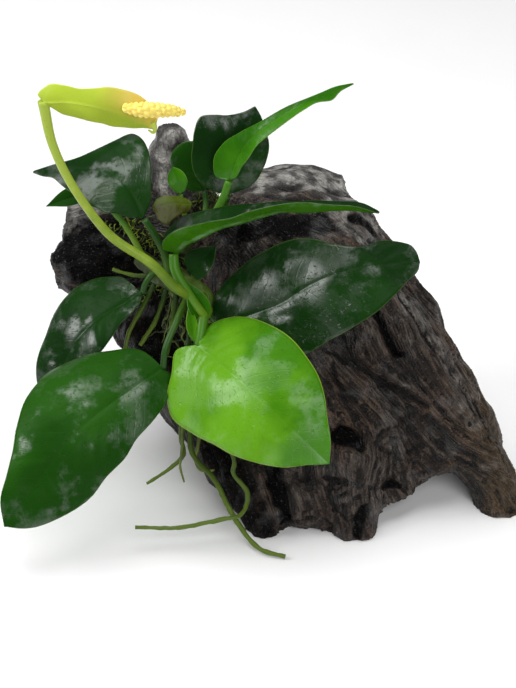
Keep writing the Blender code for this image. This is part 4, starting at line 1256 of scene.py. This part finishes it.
def make_tangle(tree):
    """The fine roots below the creeping stem, which have no solids of their own."""
    chance = np.random.default_rng(FINE_ROOT_SEED)
    stem = smooth_path([row[:3] for row in RHIZOMES["rhizome"]], 12)
    strands = [rows for rows in FINE_ROOTS]
    for _ in range(FINE_ROOT_COUNT):
        start = stem[chance.integers(4, len(stem) - 4)] + (0, -2.5, -2)
        heading = (chance.uniform(-0.9, 0.4), chance.uniform(-0.9, -0.1), chance.uniform(-1.0, 0.3))
        strands.append(creep(tree, start, heading, chance.integers(8, 19), chance.uniform(0.4, 0.7), chance))
    item = tangle("fine_roots", strands, 6, 0.8)
    item.data.materials.append(strand_material("fine_root", (0.020, 0.034, 0.006), (0.16, 0.22, 0.025)))
    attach(item, "root")


def make_moss(tree):
    """Short green strands that stand on the wood."""
    chance = np.random.default_rng(MOSS_SEED)
    strands = []
    for pixel, spread in MOSS_SPOTS:
        for _ in range(MOSS_STRANDS):
            jitter = np.array(pixel) + spread * chance.normal(size=2)
            hit, normal = tree.ray_cast(*(Vector(v) for v in pixel_ray(jitter)))[:2]
            if hit is None:
                continue
            spot = np.array(hit) - 0.2 * np.array(normal)
            heading = unit(np.array(normal) + 0.8 * chance.normal(size=3) + (0, -0.3, 0.2))
            rows = []
            for step in range(4):
                rows.append((*spot, 0.30 * (1.1 - step / 3.4)))
                spot = spot + chance.uniform(0.8, 1.8) * heading
                heading = unit(heading + 0.5 * chance.normal(size=3))
            strands.append(rows)
    item = tangle("moss", strands, 3, 0.9)
    item.data.materials.append(strand_material("moss", (0.020, 0.045, 0.004), (0.20, 0.27, 0.015)))
    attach(item, "root")


def make_roots():
    olive = stalk_material("root_olive", (0.014, 0.042, 0.004), (0.085, 0.135, 0.012), 0.42)
    knots = Noise(80)
    for name, rows in ROOTS.items():

        def bumps(at, turn, points):
            return 0.14 * knots(points.reshape(-1, 3), 1.8).reshape(turn.shape)

        item = tube(name + "_skin", rows, 12, 0.7, bumps)
        item.data.materials.append(olive)
        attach(item, "root")
        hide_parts(name)


def make_stage():
    mesh = bpy.data.meshes.new("floor")
    half = FLOOR_SIZE * MM / 2
    mesh.from_pydata([(-half, -half, 0), (half, -half, 0), (half, half, 0), (-half, half, 0)], [], [(0, 1, 2, 3)])
    floor = link("floor", mesh)
    look = Look("floor")
    colour = look.mix(look.noise(60.0), (0.86, 0.86, 0.86), (0.90, 0.90, 0.90))
    look.set(base_color=colour, roughness=0.7)
    mesh.materials.append(look.material)


def add_light(name, spot, aim, size, power, colour=(1, 1, 1)):
    """A square soft light at a place, turned towards another, in millimetres and watts."""
    data = bpy.data.lights.new(name, "AREA")
    data.shape = "SQUARE"
    data.size = size * MM
    data.energy = power
    data.color = colour
    item = bpy.data.objects.new(name, data)
    item.location = place(spot)
    item.rotation_mode = "QUATERNION"
    item.rotation_quaternion = (Vector(place(aim)) - item.location).to_track_quat("-Z", "Y")
    bpy.context.scene.collection.objects.link(item)


def make_light():
    world = bpy.data.worlds.new("studio")
    world.use_nodes = True
    world.node_tree.nodes["Background"].inputs["Color"].default_value = (1, 1, 1, 1)
    world.node_tree.nodes["Background"].inputs["Strength"].default_value = ROOM_LIGHT
    bpy.context.scene.world = world
    add_light("top_light", (-120, 150, 1000), (0, 0, 60), 900, 9.5)
    add_light("left_light", (-800, -100, 600), (0, 0, 60), 500, 5.5)
    add_light("front_light", (350, -800, 700), (0, 0, 60), 700, 6.0)


def make_camera():
    data = bpy.data.cameras.new("camera")
    data.lens = CAMERA_LENS
    data.sensor_width = SENSOR
    data.clip_end = 20.0
    camera = bpy.data.objects.new("camera", data)
    rise = math.radians(CAMERA_ELEVATION)
    away = CAMERA_DISTANCE * np.array((0.0, -math.cos(rise), math.sin(rise)))
    camera.location = place(np.array(CAMERA_TARGET) + away)
    camera.rotation_euler = (math.pi / 2 - rise, 0, 0)
    bpy.context.scene.collection.objects.link(camera)
    bpy.context.scene.camera = camera
    bpy.context.scene.view_settings.view_transform = "Standard"


make_camera()
make_light()
make_stage()
wood = make_wood()
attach(wood, "root")
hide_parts(*WOOD_NODES)
make_leaves()
make_stalks()
make_rhizome()
make_flower()
make_roots()
wood_surface = surface_of(wood.data)
make_tangle(wood_surface)
make_moss(wood_surface)
